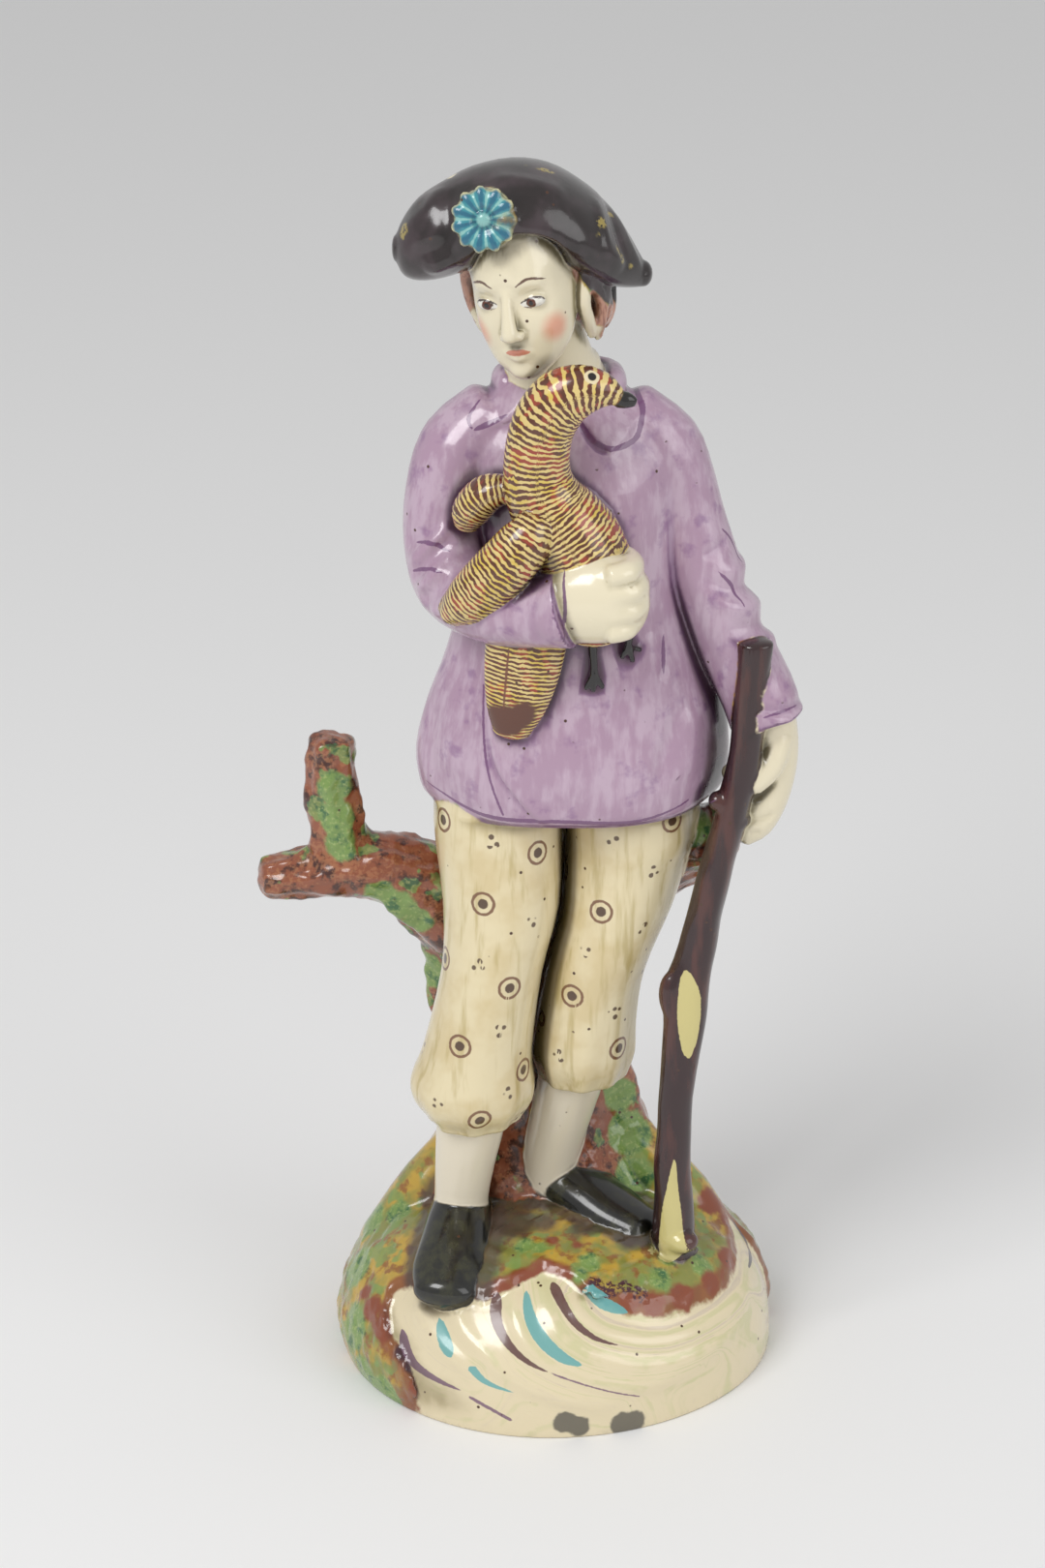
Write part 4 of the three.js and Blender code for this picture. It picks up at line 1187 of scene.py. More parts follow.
def meshCorners(mesh):
    corners = np.zeros(len(mesh.loops), np.int32)
    mesh.loops.foreach_get("vertex_index", corners)
    return corners.reshape(-1, 3)


def keep(mesh, name, values, kind="FLOAT", domain="POINT"):
    made = mesh.attributes.new(name, kind, domain)
    made.data.foreach_set({"FLOAT": "value", "FLOAT_VECTOR": "vector", "FLOAT_COLOR": "color"}[kind],
                          np.ascontiguousarray(values, np.float32).ravel())


def formGap(forms, p):
    # distance to the nearest of some forms, 9 where none is near, and which one it is
    gap = np.full(len(p), 9, np.float32)
    which = np.zeros(len(p), int)
    for n, form in enumerate(forms):
        near = np.flatnonzero(np.all((p > form.low - 4) & (p < form.high + 4), 1))
        if len(near):
            d = form.distance(p[near])
            nearer = d < gap[near]
            gap[near[nearer]] = d[nearer]
            which[near[nearer]] = n
    return gap, which


def sample(low, field, cell, p):
    # the field of distances read between its cubes
    q = np.clip((p - low) / cell, 0, np.array(field.shape) - 1.001)
    i = q.astype(int)
    t = q - i
    total = np.zeros(len(p), np.float32)
    for a in (0, 1):
        for b in (0, 1):
            for c in (0, 1):
                share = (t[:, 0] if a else 1 - t[:, 0]) * (t[:, 1] if b else 1 - t[:, 1]) * (t[:, 2] if c else 1 - t[:, 2])
                total += share * field[i[:, 0] + a, i[:, 1] + b, i[:, 2] + c]
    return total


def lensRay(px, py):
    # the ray from the camera through a pixel of the photograph
    place, target = Vector(camera["place"]), Vector(camera["target"])
    ahead = (target - place).normalized()
    right = ahead.cross(up).normalized()
    wide, tall = camera["picture"]
    focal = camera["lens"] / camera["film"] * tall
    return place, (ahead + right * ((px - wide / 2) / focal) + right.cross(ahead) * ((tall / 2 - py) / focal)).normalized()


def seen(tree, px, py):
    # the point of the skin that shows at a pixel of the photograph
    start, ahead = lensRay(px, py)
    hit = tree.ray_cast(start * metre, ahead)[0]
    return None if hit is None else hit / metre


spots = []  # each one a centre and its kind: 1 a ring, 2 a dot, 3 the eye of the bird, 4 an iris


def taperAt(kind, share):
    share = np.clip(share, 0, 1)
    if kind == "leaf":
        return np.maximum(np.sin(np.pi * share), 0) ** 0.6
    if kind == "tail":  # blunt where the brush is set down, drawn out to a point
        return np.minimum(share / 0.12, 1) ** 0.5 * (1 - share) ** 0.7
    if kind == "wedge":
        return share**0.8
    return np.ones_like(share)


def layBrushes(p, corners, centroids, normals, brushes):
    best = np.full(len(corners), 1e3, np.float32)
    across3 = np.tile(np.array((9, 9, 0), np.float32), (len(corners) * 3, 1))
    colour = np.zeros((len(corners) * 3, 4), np.float32)
    for points, width, taper, paint in brushes:
        if len(points) < 2:
            continue
        path = between(points, 6).astype(np.float32)
        last = len(path) - 1
        reach = width / 2 + 1.6
        near = np.flatnonzero(np.all((centroids > path.min(0) - reach) & (centroids < path.max(0) + reach), 1))
        if not len(near):
            continue
        gap, place = nearest(path, centroids[near])
        score = np.sqrt(gap) - width / 2 * taperAt(taper, place / last)
        wins = (score < best[near]) & (gap < reach * reach)
        tri = near[wins]
        best[tri] = score[wins]
        q = p[corners[tri]].reshape(-1, 3)
        place = nearest(path, q)[1]
        runs = np.gradient(path, axis=0)
        runs /= np.maximum(np.linalg.norm(runs, axis=1), 1e-6)[:, None]
        along = pick(runs, place)
        offset = q - pick(path, place)
        side = np.cross(np.repeat(normals[tri], 3, 0), along)
        side /= np.maximum(np.linalg.norm(side, axis=1), 1e-6)[:, None]
        past = np.einsum("ij,ij->i", offset, along)
        beyond = np.where(place <= 0, -past, np.where(place >= last, past, 0))
        rows = (tri[:, None] * 3 + np.arange(3)).ravel()
        across3[rows, 0] = np.einsum("ij,ij->i", offset, side)
        across3[rows, 1] = beyond
        across3[rows, 2] = width / 2 * taperAt(taper, place / last)
        colour[rows] = paint
    return across3, colour


def laySpots(p, corners, centroids):
    offset = np.full((len(corners) * 3, 3), 9, np.float32)
    kind = np.zeros(len(corners) * 3, np.float32)
    best = np.full(len(corners), 4.0, np.float32)
    for centre, sort in spots:
        c = np.array(centre, np.float32)
        gap = np.linalg.norm(centroids - c, axis=1)
        tri = np.flatnonzero(gap < best)
        best[tri] = gap[tri]
        rows = (tri[:, None] * 3 + np.arange(3)).ravel()
        offset[rows] = p[corners[tri]].reshape(-1, 3) - c
        kind[rows] = sort
    return offset, kind


def inPlanLine(points, lift=0.0):
    return [onMound(x, y, lift) for x, y in points]


waterPaint = {
    "brown": (0.105, 0.035, 0.04, 1),
    "purple": (0.19, 0.1, 0.17, 1),
    "teal": (0.13, 0.4, 0.4, 1),
    "slate": (0.1, 0.085, 0.1, 1),
    # width, taper, colour and the line on the mound seen from above
    "strokes": [
        (2.6, "tail", "brown", [(-10.8, -24.6), (-10.9, -28.8), (-8.7, -32), (-5, -34.1), (-1.3, -35)]),
        (0.35, "even", "purple", [(-1.3, -35), (6.2, -35.5), (15.3, -33.9)]),
        (2.7, "leaf", "teal", [(-5.5, -24.7), (-5, -28.7), (-2.8, -32), (0.9, -33.9), (4.6, -34.4)]),
        (2.4, "tail", "brown", [(-0.7, -23.4), (0.9, -27.1), (3.5, -30.1), (7.2, -31.6), (11.5, -31.6)]),
        (2.4, "leaf", "teal", [(5.4, -24.2), (8.4, -26.5), (13, -27.2)]),
        (2.5, "leaf", "teal", [(-21.5, -25.3), (-20.4, -28.2), (-18.8, -30.5)]),
        (1.8, "tail", "teal", [(-15.6, -32.3), (-12.9, -34), (-7.6, -35.6)]),
        (2.4, "tail", "purple", [(-28.6, -22.7), (-26.4, -26.9), (-22, -30.4), (-17.2, -33)]),
        (0.7, "even", "purple", [(-15.6, -33.8), (-11.9, -35.2), (-8.1, -36.2)]),
        (1.3, "leaf", "slate", [(32.3, 5), (35, 4.4), (36.7, 2.8), (36.9, -1), (36.3, -4.9)]),
    ],
}

staffPaint = {
    "peeled": (0.66, 0.58, 0.24, 1),
    "lens": (4.4, "leaf", [(709, 1002), (712, 1030), (712, 1060), (711, 1094)]),
    "wedge": (5.6, "wedge", [(697, 1196), (695, 1230), (694, 1262), (693, 1290)]),
}

jacketPaint = {
    # dark purple strokes along creases, lapel edges, sleeve folds and the hem: painted shade, partly painted lines
    "deep": (0.17, 0.07, 0.17, 1),
    # width, taper and the line as it lies in the photograph
    "strokes": [
        (1.0, "even", [(657, 402), (664, 428), (657, 453), (633, 464), (613, 455), (601, 438)]),
        (1.1, "leaf", [(488, 445), (505, 438), (526, 428)]),
        (0.7, "leaf", [(497, 412), (484, 432), (490, 446)]),
        (0.5, "even", [(500, 700), (500, 760), (505, 800), (520, 842)]),
        (0.8, "leaf", [(686, 655), (686, 697)]),
        (1.0, "leaf", [(440, 806), (480, 833), (540, 848), (600, 850), (670, 846), (742, 826)]),
        (0.7, "leaf", [(583, 588), (584, 625), (582, 664)]),
        (0.8, "leaf", [(430, 560), (447, 562), (466, 570)]),
        (0.8, "leaf", [(426, 590), (440, 588), (458, 592)]),
        (0.7, "leaf", [(745, 545), (757, 560), (768, 582)]),
        (0.7, "leaf", [(742, 590), (756, 605), (770, 628)]),
        (0.6, "leaf", [(788, 742), (806, 736), (824, 728)]),
    ],
}

birdPaint = {
    "line": (0.16, 0.05, 0.025, 1),
    "featherLine": (0.5, "leaf", [(526, 668), (523, 700), (520, 738)]),
    "eye": (612, 389),
    "tip": (0.11, 0.035, 0.018, 1),
}

breechesPaint = {
    # as they lie in the photograph
    "rings": [(458, 847), (556, 881), (499, 934), (527, 1021), (475, 1081), (460, 990), (541, 1105), (496, 1158),
              (695, 848), (621, 942), (591, 1029), (640, 1083)],
    "triples": [(509, 870), (550, 951), (494, 998), (517, 1065), (525, 1130), (452, 1140),
                (634, 870), (676, 900), (604, 982), (665, 960), (637, 1046), (577, 1091)],
    "apart": 0.95,  # from the middle of three dots to each
    "pitch": 13.5,  # down the leg where the photograph doesn't reach
}

facePaint = {  # about eye level, before the head is turned; +x is the viewer's right
    "brow": (0.09, 0.03, 0.02, 1),
    "lid": (0.035, 0.015, 0.012, 1),
    "white": (0.78, 0.76, 0.7, 1),
    "lip": (0.62, 0.2, 0.13, 1),
    "browLine": (0.5, "leaf", [(1.9, -11.8, 3.4), (4.2, -11.2, 4.5), (6.9, -9.2, 3.5)]),
    "lidLine": (0.42, "leaf", [(2.1, -11.6, 0.1), (4, -11.2, 1.15), (6.1, -9.7, 0.1)]),
    "underLine": (0.18, "leaf", [(2.5, -11.6, -0.3), (4, -11.3, -0.85), (5.9, -9.9, -0.1)]),
    "whiteLine": (1.7, "leaf", [(2.2, -11.6, 0.05), (4, -11.2, 0.15), (6, -9.8, 0.05)]),
    "iris": (4.0, -11.2, 0.2),
    "cheek": (6.6, -9.2, -5.2),
    "lips": (1.35, "leaf", [(-2.3, -11.9, -8.4), (0, -12.6, -8.3), (2.3, -11.9, -8.4)]),
}

dabs = {  # soft patches, each a place in the photograph and a radius
    "green": [(345, 815, 3.2), (347, 845, 3.6), (352, 873, 3.2), (392, 922, 3), (412, 935, 3.4), (432, 950, 3.0),
              (443, 1000, 4), (640, 1130, 3.6), (650, 1170, 4.5), (655, 1215, 4), (716, 850, 4.5),
              (370, 1310, 4.5), (385, 1260, 3.6), (412, 1254, 2.6), (365, 1370, 4.5), (378, 1420, 4), (400, 1440, 4),
              (425, 1458, 3), (542, 1288, 2.0), (558, 1290, 1.4), (609, 1305, 2.2), (598, 1316, 2.0), (681, 1321, 2.4),
              (726, 1308, 2.6), (690, 1300, 1.6), (434, 1020, 3)],
    "rust": [(384, 1352, 2.6), (395, 1372, 2.8), (378, 1335, 1.8), (437, 1432, 2.6), (455, 1452, 2.6), (475, 1468, 2.2),
             (495, 1344, 1.8), (515, 1335, 2.6), (540, 1322, 2.4), (565, 1314, 2.2), (585, 1318, 1.6), (650, 1344, 2.2),
             (675, 1346, 2.4), (705, 1340, 2.8), (735, 1325, 2.4), (752, 1300, 2.6), (752, 1262, 2.4), (735, 1240, 3),
             (395, 1225, 2.6), (571, 1281, 1.3), (596, 1287, 1.0)],
    "plum": [(418, 1396, 2.0), (428, 1410, 2.0), (440, 1420, 1.6)],
    "shade": [(527, 1262, 5.5), (540, 1235, 5), (560, 1262, 3), (600, 1270, 2.4), (650, 1282, 2.4), (690, 1286, 2.2)],
    "moss": [(615, 1326, 1.6), (630, 1333, 1.8), (646, 1330, 1.6), (661, 1336, 1.6), (622, 1341, 1.3)],
    "chip": [(584, 1470, 2.3), (598, 1474, 2.2), (643, 1471, 2.4), (656, 1468, 2.2)],
    # worn spots on the hat; the small one at 618, 243 stands on a glint and is a painted highlight
    "hatWear": [(546, 171, 0.7), (556, 174, 0.6), (567, 177, 0.9), (622, 230, 1.0), (618, 243, 0.6), (639, 258, 0.7),
                (643, 266, 0.9), (417, 238, 1.3), (652, 275, 0.7), (630, 222, 0.7)],
    "hatChip": [(467, 182, 1.1)],
    "tailTip": [(512, 742, 2.4), (526, 745, 3.2), (540, 738, 2.4)],
}


def layPaint(low, field, cell):
    mesh = figureObject.data
    p, corners = meshPoints(mesh), meshCorners(mesh)
    normals = np.zeros(len(mesh.vertices) * 3, np.float32)
    mesh.vertex_normals.foreach_get("vector", normals)
    normals = normals.reshape(-1, 3)
    centroids = p[corners].mean(1)
    faceNormals = normals[corners].mean(1)
    tree = BVHTree.FromObject(figureObject, bpy.context.evaluated_depsgraph_get())

    gaps = {name: formGap(forms, p) for name, (forms, fillet) in areas.items()}
    table = np.stack([gaps[name][0] for name in areas])
    order = np.sort(table, axis=0)
    for n, name in enumerate(areas):
        other = np.where(table[n] <= order[0], order[1], order[0])
        keep(mesh, "is" + name.title(), np.clip((other - table[n]) / 2, -3, 3))
    keep(mesh, "nearShoe", gaps["shoe"][0])
    land = landGap(p)
    keep(mesh, "land", np.clip(-land, -6, 6))

    keep(mesh, "hollow", 1.3 - sample(low, field, cell, p + 1.3 * normals))
    keep(mesh, "deepHollow", 3.0 - np.minimum(sample(roughLow, rough, figure["coarse"], p + 3.0 * normals), 3.0))
    keep(mesh, "ridge", sample(low, field, cell, p - 1.0 * normals) + 1.0)

    weights, total = 0, 0
    for n, crest in enumerate(mound["crests"][-1:] + mound["crests"][:-1]):
        gap = nearest(between(inPlanLine(crest), 3).astype(np.float32), p)[0]
        weights = weights + 1 / (gap + 0.6)
        total = total + n / (gap + 0.6)
    keep(mesh, "flow", total / weights)

    def project(points):
        return [q for q in (seen(tree, px, py) for px, py in points) if q is not None]

    for name, places in dabs.items():
        gap = np.full(len(p), 9, np.float32)
        for px, py, radius in places:
            c = seen(tree, px, py)
            if c is not None:
                gap = np.minimum(gap, np.linalg.norm(p - np.array(c, np.float32), axis=1) - radius)
        keep(mesh, name, np.clip(-gap, -6, 6))

    under, over = [], []
    for width, taper, colour, line in waterPaint["strokes"]:
        under.append((inPlanLine(line), width, taper, waterPaint[colour]))
    for part in ("lens", "wedge"):
        width, taper, line = staffPaint[part]
        under.append((project(line), width, taper, staffPaint["peeled"]))
    # the jacket's crease strokes: painted shade, partly painted lines
    for width, taper, line in jacketPaint["strokes"]:
        over.append((project(line), width, taper, jacketPaint["deep"]))
    width, taper, line = birdPaint["featherLine"]
    over.append((project(line), width, taper, birdPaint["line"]))
    place = headPlace()
    cheeks = []
    for way in (-1, 1):
        for part, colour, layer in (("browLine", "brow", over), ("lidLine", "lid", over), ("underLine", "brow", over),
                                    ("whiteLine", "white", under)):
            width, taper, line = facePaint[part]
            layer.append(([place @ Vector((way * x, y, z)) for x, y, z in line], width, taper, facePaint[colour]))
        x, y, z = facePaint["iris"]
        spots.append((place @ Vector((way * x, y, z)), 4))
        x, y, z = facePaint["cheek"]
        cheeks.append(place @ Vector((way * x, y, z)))
    width, taper, line = facePaint["lips"]
    under.append(([place @ Vector(q) for q in line], width, taper, facePaint["lip"]))
    keep(mesh, "cheek", np.min([np.linalg.norm(p - np.array(c, np.float32), axis=1) for c in cheeks], axis=0))

    for px, py in breechesPaint["rings"]:
        spots.append((seen(tree, px, py), 1))
    for px, py in breechesPaint["triples"]:
        layTriple(seen(tree, px, py))
    for side in ("right", "left"):
        layRound(areas["breeches"][0][0 if side == "right" else 1])
    spots.append((seen(tree, *birdPaint["eye"]), 3))
    for name, layer in (("under", under), ("over", over)):
        offsets, colours = layBrushes(p, corners, centroids, faceNormals, layer)
        keep(mesh, name + "Brush", offsets, "FLOAT_VECTOR", "CORNER")
        keep(mesh, name + "Colour", colours, "FLOAT_COLOR", "CORNER")
    offsets, kinds = laySpots(p, corners, centroids)
    keep(mesh, "spot", offsets, "FLOAT_VECTOR", "CORNER")
    keep(mesh, "spotKind", kinds, "FLOAT", "CORNER")
    layFeathers(mesh, p, corners, centroids)


def layTriple(centre):
    # three dots about a place on the cloth
    if centre is None:
        return
    for n in range(3):
        turn = math.radians(90 + 120 * n + 17 * len(spots))
        r = breechesPaint["apart"]
        spots.append((centre + Vector((r * math.cos(turn), 0, r * math.sin(turn))), 2))


def layRound(limb):
    # rings and dots on the sides and back of a leg, clear of those at the front
    taken = [Vector(c) for c, kind in spots]
    last = len(limb.centres) - 1
    for row in range(4):
        for column in range(6):
            turn = math.radians(60 * column + 30 * (row % 2) + 8)
            level = 100 - breechesPaint["pitch"] * row - (6.5 if column % 2 else 0)
            place = int(np.argmin(np.abs(limb.centres[:, 2] - level)))
            if place in (0, last):
                continue
            a, b = limb.radii[place]
            c = Vector(limb.centres[place].tolist()) + Vector((float(a) * math.cos(turn), float(b) * math.sin(turn), 0))
            if min((c - t).length for t in taken) < 7.5:
                continue
            if column % 2:
                layTriple(c)
            else:
                spots.append((c, 1))
            taken.append(c)


def layFeathers(mesh, p, corners, centroids):
    # how far along the bird's stripes each corner is, its place around the body, and which part it is on
    forms = areas["bird"][0]
    gap, which = formGap(forms, centroids)
    values = np.zeros((len(corners) * 3, 3), np.float32)
    pitches = [(1.35, 0.98), (0.92, 0.92), (0.9, 0.9), (0.86, 0.8)]
    for n, form in enumerate(forms):
        tri = np.flatnonzero((which == n) & (gap < 2.5))
        place, s, u, v = form.locate(p[corners[tri]].reshape(-1, 3))
        radii = pick(form.radii, place)
        share = place / (len(form.centres) - 1)
        start, end = pitches[n]
        pitch = start + (end - start) * share
        rows = (tri[:, None] * 3 + np.arange(3)).ravel()
        values[rows, 0] = (pick(form.run, place) + s) / pitch
        values[rows, 1] = np.arctan2(v, u) * radii.mean(1)
        values[rows, 2] = n
    keep(mesh, "feather", values, "FLOAT_VECTOR", "CORNER")


layPaint(low, field, cell)
print("paint laid")


# The glaze

def srgb(r, g, b):
    def linear(v):
        v /= 255
        return v / 12.92 if v <= 0.04045 else ((v + 0.055) / 1.055) ** 2.4
    return (linear(r), linear(g), linear(b), 1)


colours = {
    "glaze": srgb(226, 216, 190),
    "skin": srgb(228, 218, 190),
    "blush": srgb(222, 140, 112),
    "hair": srgb(190, 140, 118),
    "hairDark": srgb(140, 92, 76),
    "lilac": srgb(172, 142, 164),
    "lilacPale": srgb(190, 166, 184),
    "lilacDeep": srgb(132, 92, 136),
    "buff": srgb(214, 196, 152),
    "buffPale": srgb(226, 212, 174),
    "olive": srgb(176, 156, 92),
    "ring": srgb(110, 66, 42),
    "dot": srgb(72, 44, 28),
    "stocking": srgb(228, 218, 196),
    "shoe": srgb(24, 24, 22),
    "shoeOlive": srgb(52, 52, 34),
    "hat": srgb(34, 26, 26),
    "hatSheen": srgb(62, 50, 54),
    # worn spots on the hat, one of them a painted highlight
    "hatWear": srgb(160, 142, 74),
    "teal": srgb(62, 140, 152),
    "tealDeep": srgb(42, 104, 128),
    "tealRay": srgb(152, 202, 192),
    "tealEdge": srgb(206, 200, 152),
    "yellow": srgb(220, 196, 128),
    "yellowDeep": srgb(214, 186, 84),
    "feather": srgb(92, 50, 34),
    "featherRed": srgb(150, 62, 44),
    "black": srgb(26, 22, 22),
    "chestnut": srgb(142, 80, 54),
    "barkDark": srgb(70, 36, 28),
    "barkPale": srgb(176, 120, 82),
    "mossGreen": srgb(122, 150, 80),
    "mossDeep": srgb(60, 104, 62),
    "mossPale": srgb(160, 176, 108),
    "staff": srgb(48, 26, 28),
    "staffWarm": srgb(78, 42, 38),
    "ochre": srgb(190, 156, 62),
    "ochreBrown": srgb(142, 92, 46),
    "landOlive": srgb(134, 136, 66),
    "rust": srgb(136, 70, 44),
    "plum": srgb(72, 34, 44),
    "shade": srgb(80, 66, 58),
    "water": srgb(226, 212, 178),
    "waterGreen": srgb(206, 202, 154),
    "waterLilac": srgb(200, 184, 170),
    "chipGrey": srgb(112, 106, 92),
    # the tint of pooled glaze, and painted shade, for the hollows
    "poolTintAndShade": srgb(150, 140, 96),
}


def makeGlaze():
    made = glaze
    bench = GlazeBench(made.node_tree)
    kept, noise, soft, mix, c = bench.kept, bench.noise, bench.soft, bench.mix, colours
    broad, fine, grit = noise(9.0, 3, 1.0), noise(2.6, 3, 4.0), noise(0.7, 2, 7.0)
    hand = (noise(1.8, 3, 11.0) - 0.5) * 0.7
    drops = noise(5.0, 2, 5.2)

    def area(name, wobble=1.0):
        return soft(kept("is" + name.title()) + hand * wobble, -0.12, 0.12)

    def dab(name, rag=2.4, edge=0.7):
        return soft(kept(name) + (fine - 0.5) * rag, -edge, edge)

    # mound: water first, then land over it
    flow = kept("flow")
    lines = bench.node("ShaderNodeCombineXYZ", {}, {0: flow * 5.0, 1: broad * 1.6, 2: 0.0})
    stripe = noise(1.0, 3, 2.0, at=lines)
    water = mix(c["water"], c["waterGreen"], soft(stripe, 0.52, 0.66, 0.0, 0.75))
    water = mix(water, c["waterLilac"], soft(1 - stripe, 0.56, 0.7, 0.0, 0.6))
    land = mix(c["ochre"], c["landOlive"], soft(broad, 0.42, 0.56))
    land = mix(land, c["ochreBrown"], soft(fine, 0.5, 0.66, 0.0, 0.9))
    land = mix(land, c["mossGreen"], soft(drops, 0.55, 0.62, 0.0, 0.8))
    inland = kept("land") + (fine - 0.5) * 1.2
    land = mix(land, c["rust"], soft(1.7 - inland, -0.4, 0.8, 0.0, 0.85))
    mossy = mix(c["mossGreen"], c["mossDeep"], soft(fine, 0.5, 0.68))
    mossy = mix(mossy, c["mossPale"], soft(grit, 0.5, 0.7, 0.0, 0.7))
    land = mix(land, mossy, dab("green"))
    land = mix(land, c["rust"], dab("rust"))
    land = mix(land, c["plum"], dab("plum"))
    land = mix(land, c["plum"], dab("moss", 3.2, 0.3) * soft(grit, 0.42, 0.52))
    land = mix(land, c["shade"], soft(3.4 - kept("nearShoe") + (fine - 0.5) * 2, -0.8, 1.4, 0.0, 0.85))
    land = mix(land, c["shade"], dab("shade", 2.0, 1.6) * 0.9)
    colour = mix(water, land, soft(inland + 0.4, -0.25, 0.25))

    # stump and staff
    bark = mix(c["chestnut"], c["barkDark"], soft(fine, 0.48, 0.62))
    bark = mix(bark, c["barkPale"], soft(grit * 0.5 + broad * 0.5, 0.52, 0.6, 0.0, 0.5))
    bark = mix(bark, c["barkPale"], soft(kept("ridge"), 0.12, 0.5, 0.0, 0.35))
    patch = soft(drops + (fine - 0.5) * 0.25, 0.58, 0.62) * soft(kept("isStump"), 0.5, 1.2)
    bark = mix(bark, mossy, patch * 0.8)
    bark = mix(bark, mossy, dab("green", 2.0, 0.5))
    colour = mix(colour, bark, area("stump", 1.6))
    stick = mix(c["staff"], c["staffWarm"], soft(noise(3.0, 3, 3.0, (1, 1, 0.15)), 0.46, 0.66))
    colour = mix(colour, stick, area("staff"))

    # breeches, stockings and shoes
    streak = noise(2.2, 3, 8.0, (1, 1, 0.1))
    cloth = mix(c["buff"], c["buffPale"], soft(broad, 0.35, 0.6))
    cloth = mix(cloth, c["olive"], soft(streak, 0.5, 0.72, 0.0, 0.6))
    # olive in the hollows: the glaze's tint where it pools, and painted shade
    cloth = mix(cloth, c["olive"], soft(kept("hollow"), 0.08, 0.7, 0.0, 0.6))
    colour = mix(colour, cloth, area("breeches", 0.6))
    colour = mix(colour, c["stocking"], area("stocking", 0.4))
    leather = mix(c["shoe"], c["shoeOlive"], soft(broad * 0.5 + fine * 0.5, 0.46, 0.62))
    colour = mix(colour, leather, area("shoe", 0.6))

    # jacket
    brushed = noise(1.6, 3, 6.0, (1, 1, 0.22))
    lilac = mix(c["lilac"], c["lilacPale"], soft(brushed * 0.5 + broad * 0.5, 0.42, 0.6))
    lilac = mix(lilac, c["lilacDeep"], soft(fine * 0.4 + noise(4.5, 3, 9.0) * 0.6, 0.53, 0.68, 0.0, 0.6))
    # painted shade: deeper lilac in the folds and hollows
    lilac = mix(lilac, c["lilacDeep"], soft(kept("hollow"), 0.05, 0.55, 0.0, 0.85))
    colour = mix(colour, lilac, area("jacket", 0.5))

    # head
    skin = mix(c["skin"], c["blush"], soft(kept("cheek"), 3.6, 0.8, 0.0, 0.75))
    # the skin's hollows drawn toward the pooled-glaze tint: partly painted shade
    skin = mix(skin, c["poolTintAndShade"], soft(kept("hollow"), 0.12, 0.8, 0.0, 0.5))
    colour = mix(colour, skin, area("skin", 0.3))
    hair = mix(c["hair"], c["hairDark"], soft(noise(0.9, 3, 3.0, (1, 1, 0.25)), 0.48, 0.66))
    colour = mix(colour, hair, area("hair", 0.4))

    # bird
    feather = kept("feather", "Vector")
    apart = bench.node("ShaderNodeSeparateXYZ", {}, {0: feather})
    along = apart
    around = Wire(bench, apart.socket.node.outputs[1])
    which = Wire(bench, apart.socket.node.outputs[2])
    wavy = bench.node("ShaderNodeCombineXYZ", {}, {0: along * 0.35, 1: around * 0.45, 2: which})
    phase = along + (noise(1.0, 2, 3.0, at=wavy) - 0.5) * 1.1
    row = bench.sum("FLOOR", phase)
    dash = bench.sum("FRACT", around / 4.6 + row * 0.382)
    body = bench.sum("SINE", dash * math.pi)
    breadth = 0.12 + 0.2 * body ** 0.5 + (fine - 0.5) * 0.25
    offset = bench.sum("ABSOLUTE", bench.sum("FRACT", phase) - 0.5)
    stripes = soft(breadth - offset, -0.035, 0.05)
    plume = mix(c["yellow"], c["yellowDeep"], soft(broad * 0.5 + fine * 0.5, 0.48, 0.6))
    bar = mix(c["feather"], c["featherRed"], soft(noise(3.4, 2, 13.0), 0.52, 0.62))
    plume = mix(plume, bar, stripes)
    plume = mix(plume, birdPaint["tip"], dab("tailTip", 1.6, 0.5))
    colour = mix(colour, plume, area("bird", 0.5))
    colour = mix(colour, c["black"], area("black", 0.2))

    # hat and rosette
    felt = mix(c["hat"], c["hatSheen"], soft(broad, 0.42, 0.64))
    # worn spots, one of them a painted highlight
    felt = mix(felt, c["hatWear"], dab("hatWear", 1.6, 0.3) * soft(grit, 0.4, 0.5) * 0.9)
    felt = mix(felt, c["glaze"], dab("hatChip", 0.6, 0.15))
    colour = mix(colour, felt, area("hat", 0.4))
    colour = mix(colour, paintRosette(bench), area("rosette", 0.3))

    # brushed lines and spots over the washes
    for layer in ("under", "over"):
        offsets = bench.node("ShaderNodeSeparateXYZ", {}, {0: kept(layer + "Brush", "Vector")})
        side, past, half = (Wire(bench, offsets.socket.node.outputs[n]) for n in range(3))
        past = bench.sum("MAXIMUM", past, 0.0)
        reach = (side * side + past * past) ** 0.5
        stroke = soft(half - reach + (grit - 0.5) * 0.25, -0.06, 0.1)
        colour = mix(colour, kept(layer + "Colour", "Color"), stroke * 0.92)
        if layer == "under":
            colour = paintSpots(bench, colour, grit)

    # hollows darkened: the glaze's tint where it pools, with painted shade, and more painted shade in the deepest
    # hollows; then pinholes and chips
    poolTintAndShade = soft(kept("hollow"), 0.1, 1.0, 0.0, 0.55)
    colour = mix(colour, c["poolTintAndShade"], poolTintAndShade, "MULTIPLY")
    # painted shade in the deep hollows
    colour = mix(colour, c["shade"], soft(kept("deepHollow"), 0.9, 2.6, 0.0, 0.6), "MULTIPLY")
    pits = bench.node("ShaderNodeTexVoronoi", {"feature": "F1"}, {"Vector": bench.place, "Scale": 0.32})
    colour = mix(colour, c["dot"], soft(pits, 0.12, 0.07) * soft(noise(6.0, 1, 21.0), 0.52, 0.56))
    colour = mix(colour, c["chipGrey"], dab("chip", 1.2, 0.3))

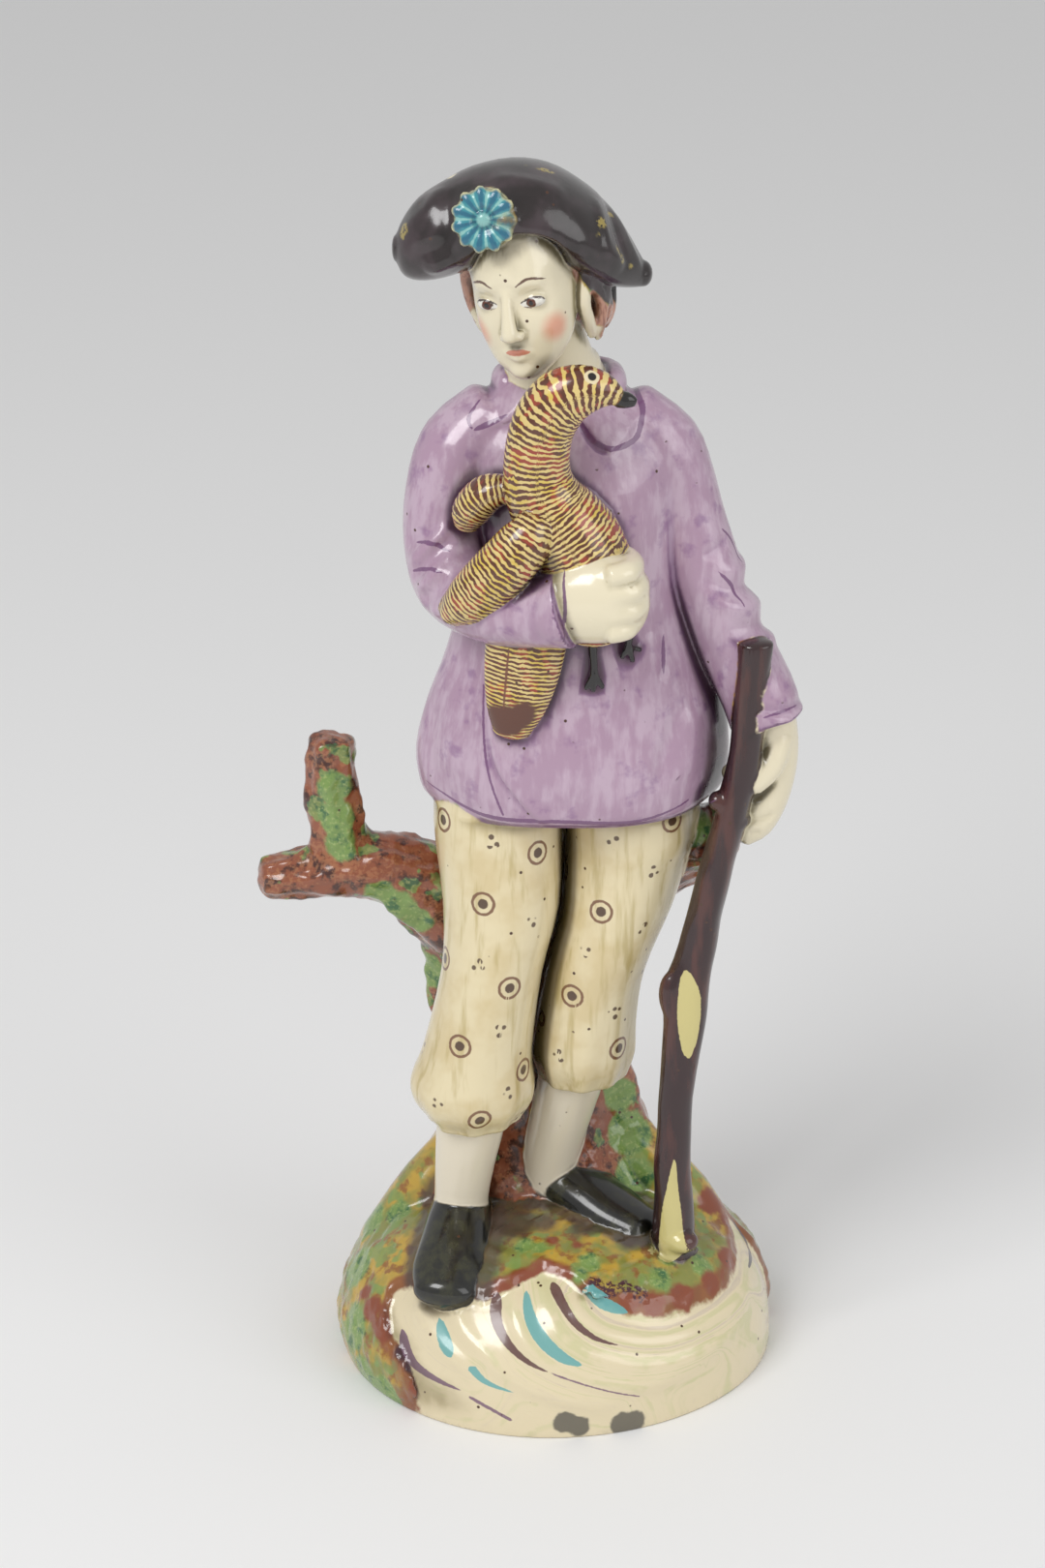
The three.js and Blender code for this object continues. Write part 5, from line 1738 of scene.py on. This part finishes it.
    shader = made.node_tree.nodes["Principled BSDF"]
    made.node_tree.links.new(colour.socket, shader.inputs["Base Color"])
    rough = 0.22 + (fine - 0.5) * 0.16
    rough = rough + dab("chip", 1.2, 0.3) * 0.5 + dab("hatChip", 0.6, 0.15) * 0.4
    made.node_tree.links.new(rough.socket, shader.inputs["Roughness"])
    shader.inputs["Coat Weight"].default_value = 0.5
    shader.inputs["Coat Roughness"].default_value = 0.08
    height = noise(3.2, 2, 15.0) * 0.05 + grit * 0.02 + soft(pits, 0.05, 0.16) * 0.03
    bump = bench.node("ShaderNodeBump", {}, {"Height": height, "Distance": 0.001, "Strength": 0.6})
    made.node_tree.links.new(bump.socket, shader.inputs["Normal"])


def paintRosette(bench):
    # petals as rays about the boss
    c = colours
    out = rosette["out"]
    side = up.cross(out).normalized()
    rise = out.cross(side)
    fromCentre = bench.node("ShaderNodeVectorMath", {"operation": "SUBTRACT"}, {0: bench.place, 1: rosette["centre"]})

    def share(axis):
        return bench.node("ShaderNodeVectorMath", {"operation": "DOT_PRODUCT"}, {0: fromCentre, 1: tuple(axis)}, "Value")

    u, v = share(side), share(rise)
    r = (u * u + v * v) ** 0.5
    turn = bench.sum("ARCTAN2", v, u)
    petal = bench.sum("COSINE", turn * rosette["petals"])
    glazeNoise = bench.noise(1.2, 2, 31.0)
    teal = bench.mix(c["teal"], c["tealDeep"], bench.soft(petal + (glazeNoise - 0.5) * 2, -0.4, 0.8))
    teal = bench.mix(teal, c["tealRay"], bench.soft(-1 * petal + (glazeNoise - 0.5) * 0.8, 0.55, 0.95, 0.0, 0.75)
                     * bench.soft(r, 1.4, 2.4))
    teal = bench.mix(teal, c["tealEdge"], bench.soft(r + petal * -0.25 + (glazeNoise - 0.5) * 0.8, 4.7, 5.4))
    return bench.mix(teal, c["tealRay"], bench.soft(r, 1.5, 0.8, 0.0, 0.7))


def paintSpots(bench, colour, grit):
    # rings with a dot, single dots, the bird's eye and the irises
    c = colours
    r = bench.node("ShaderNodeVectorMath", {"operation": "LENGTH"}, {0: bench.kept("spot", "Vector")}, "Value")
    r = r + (grit - 0.5) * 0.28
    kind = bench.kept("spotKind")

    def only(n):
        return bench.node("ShaderNodeMath", {"operation": "COMPARE"}, {0: kind, 1: float(n), 2: 0.3})

    ringGap = bench.sum("ABSOLUTE", r - 2.0)
    onCloth = bench.soft(bench.kept("isBreeches"), 0.0, 0.3)
    colour = bench.mix(colour, c["ring"], bench.soft(0.27 - ringGap, -0.08, 0.08) * only(1) * onCloth * 0.9)
    colour = bench.mix(colour, c["dot"], bench.soft(0.95 - r, -0.1, 0.1) * only(1) * onCloth * 0.95)
    colour = bench.mix(colour, c["dot"], bench.soft(0.52 - r, -0.1, 0.1) * only(2) * onCloth * 0.9)
    colour = bench.mix(colour, c["buffPale"], bench.soft(1.3 - r, -0.1, 0.1) * only(3))
    colour = bench.mix(colour, c["black"], bench.soft(0.75 - r, -0.1, 0.1) * only(3))
    colour = bench.mix(colour, c["feather"], bench.soft(0.86 - r, -0.08, 0.08) * only(4))
    return bench.mix(colour, c["black"], bench.soft(0.45 - r, -0.08, 0.08) * only(4))


makeGlaze()
baked.materials.clear()
baked.materials.append(glaze)
print("glaze made")

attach(figureObject, "root")
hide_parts("figure")


# Floor, light and camera

def makeStage():
    bpy.ops.mesh.primitive_plane_add(size=6)
    floor = bpy.context.object
    floor.name = "floor"
    paint = bpy.data.materials.new("floorPaint")
    paint.use_nodes = True
    paint.node_tree.nodes["Principled BSDF"].inputs["Base Color"].default_value = (0.86, 0.86, 0.86, 1)
    paint.node_tree.nodes["Principled BSDF"].inputs["Roughness"].default_value = 0.7
    floor.data.materials.append(paint)
    world = bpy.data.worlds.new("studio")
    world.use_nodes = True
    world.node_tree.nodes["Background"].inputs["Color"].default_value = (1, 1, 1, 1)
    world.node_tree.nodes["Background"].inputs["Strength"].default_value = 0.55
    bpy.context.scene.world = world


def makeLight(name, place, target, size, power):
    light = bpy.data.lights.new(name, "AREA")
    light.size = size
    light.energy = power
    holder = bpy.data.objects.new(name, light)
    holder.location = place
    holder.rotation_euler = (Vector(target) - Vector(place)).to_track_quat("-Z", "Y").to_euler()
    bpy.context.scene.collection.objects.link(holder)


def makeCamera():
    lens = bpy.data.cameras.new("camera")
    lens.lens = camera["lens"]
    lens.sensor_width = camera["film"]
    lens.clip_start = 0.01
    holder = bpy.data.objects.new("camera", lens)
    place, target = Vector(camera["place"]) * metre, Vector(camera["target"]) * metre
    holder.location = place
    holder.rotation_euler = (target - place).to_track_quat("-Z", "Y").to_euler()
    bpy.context.scene.collection.objects.link(holder)
    bpy.context.scene.camera = holder


makeStage()
makeLight("softKey", (-0.5, -0.6, 0.9), (0, 0, 0.12), 0.5, 6)
makeLight("softFill", (0.7, -0.5, 0.5), (0, 0, 0.12), 0.6, 2)
makeCamera()
bpy.context.scene.view_settings.view_transform = "Standard"
print("stage set")
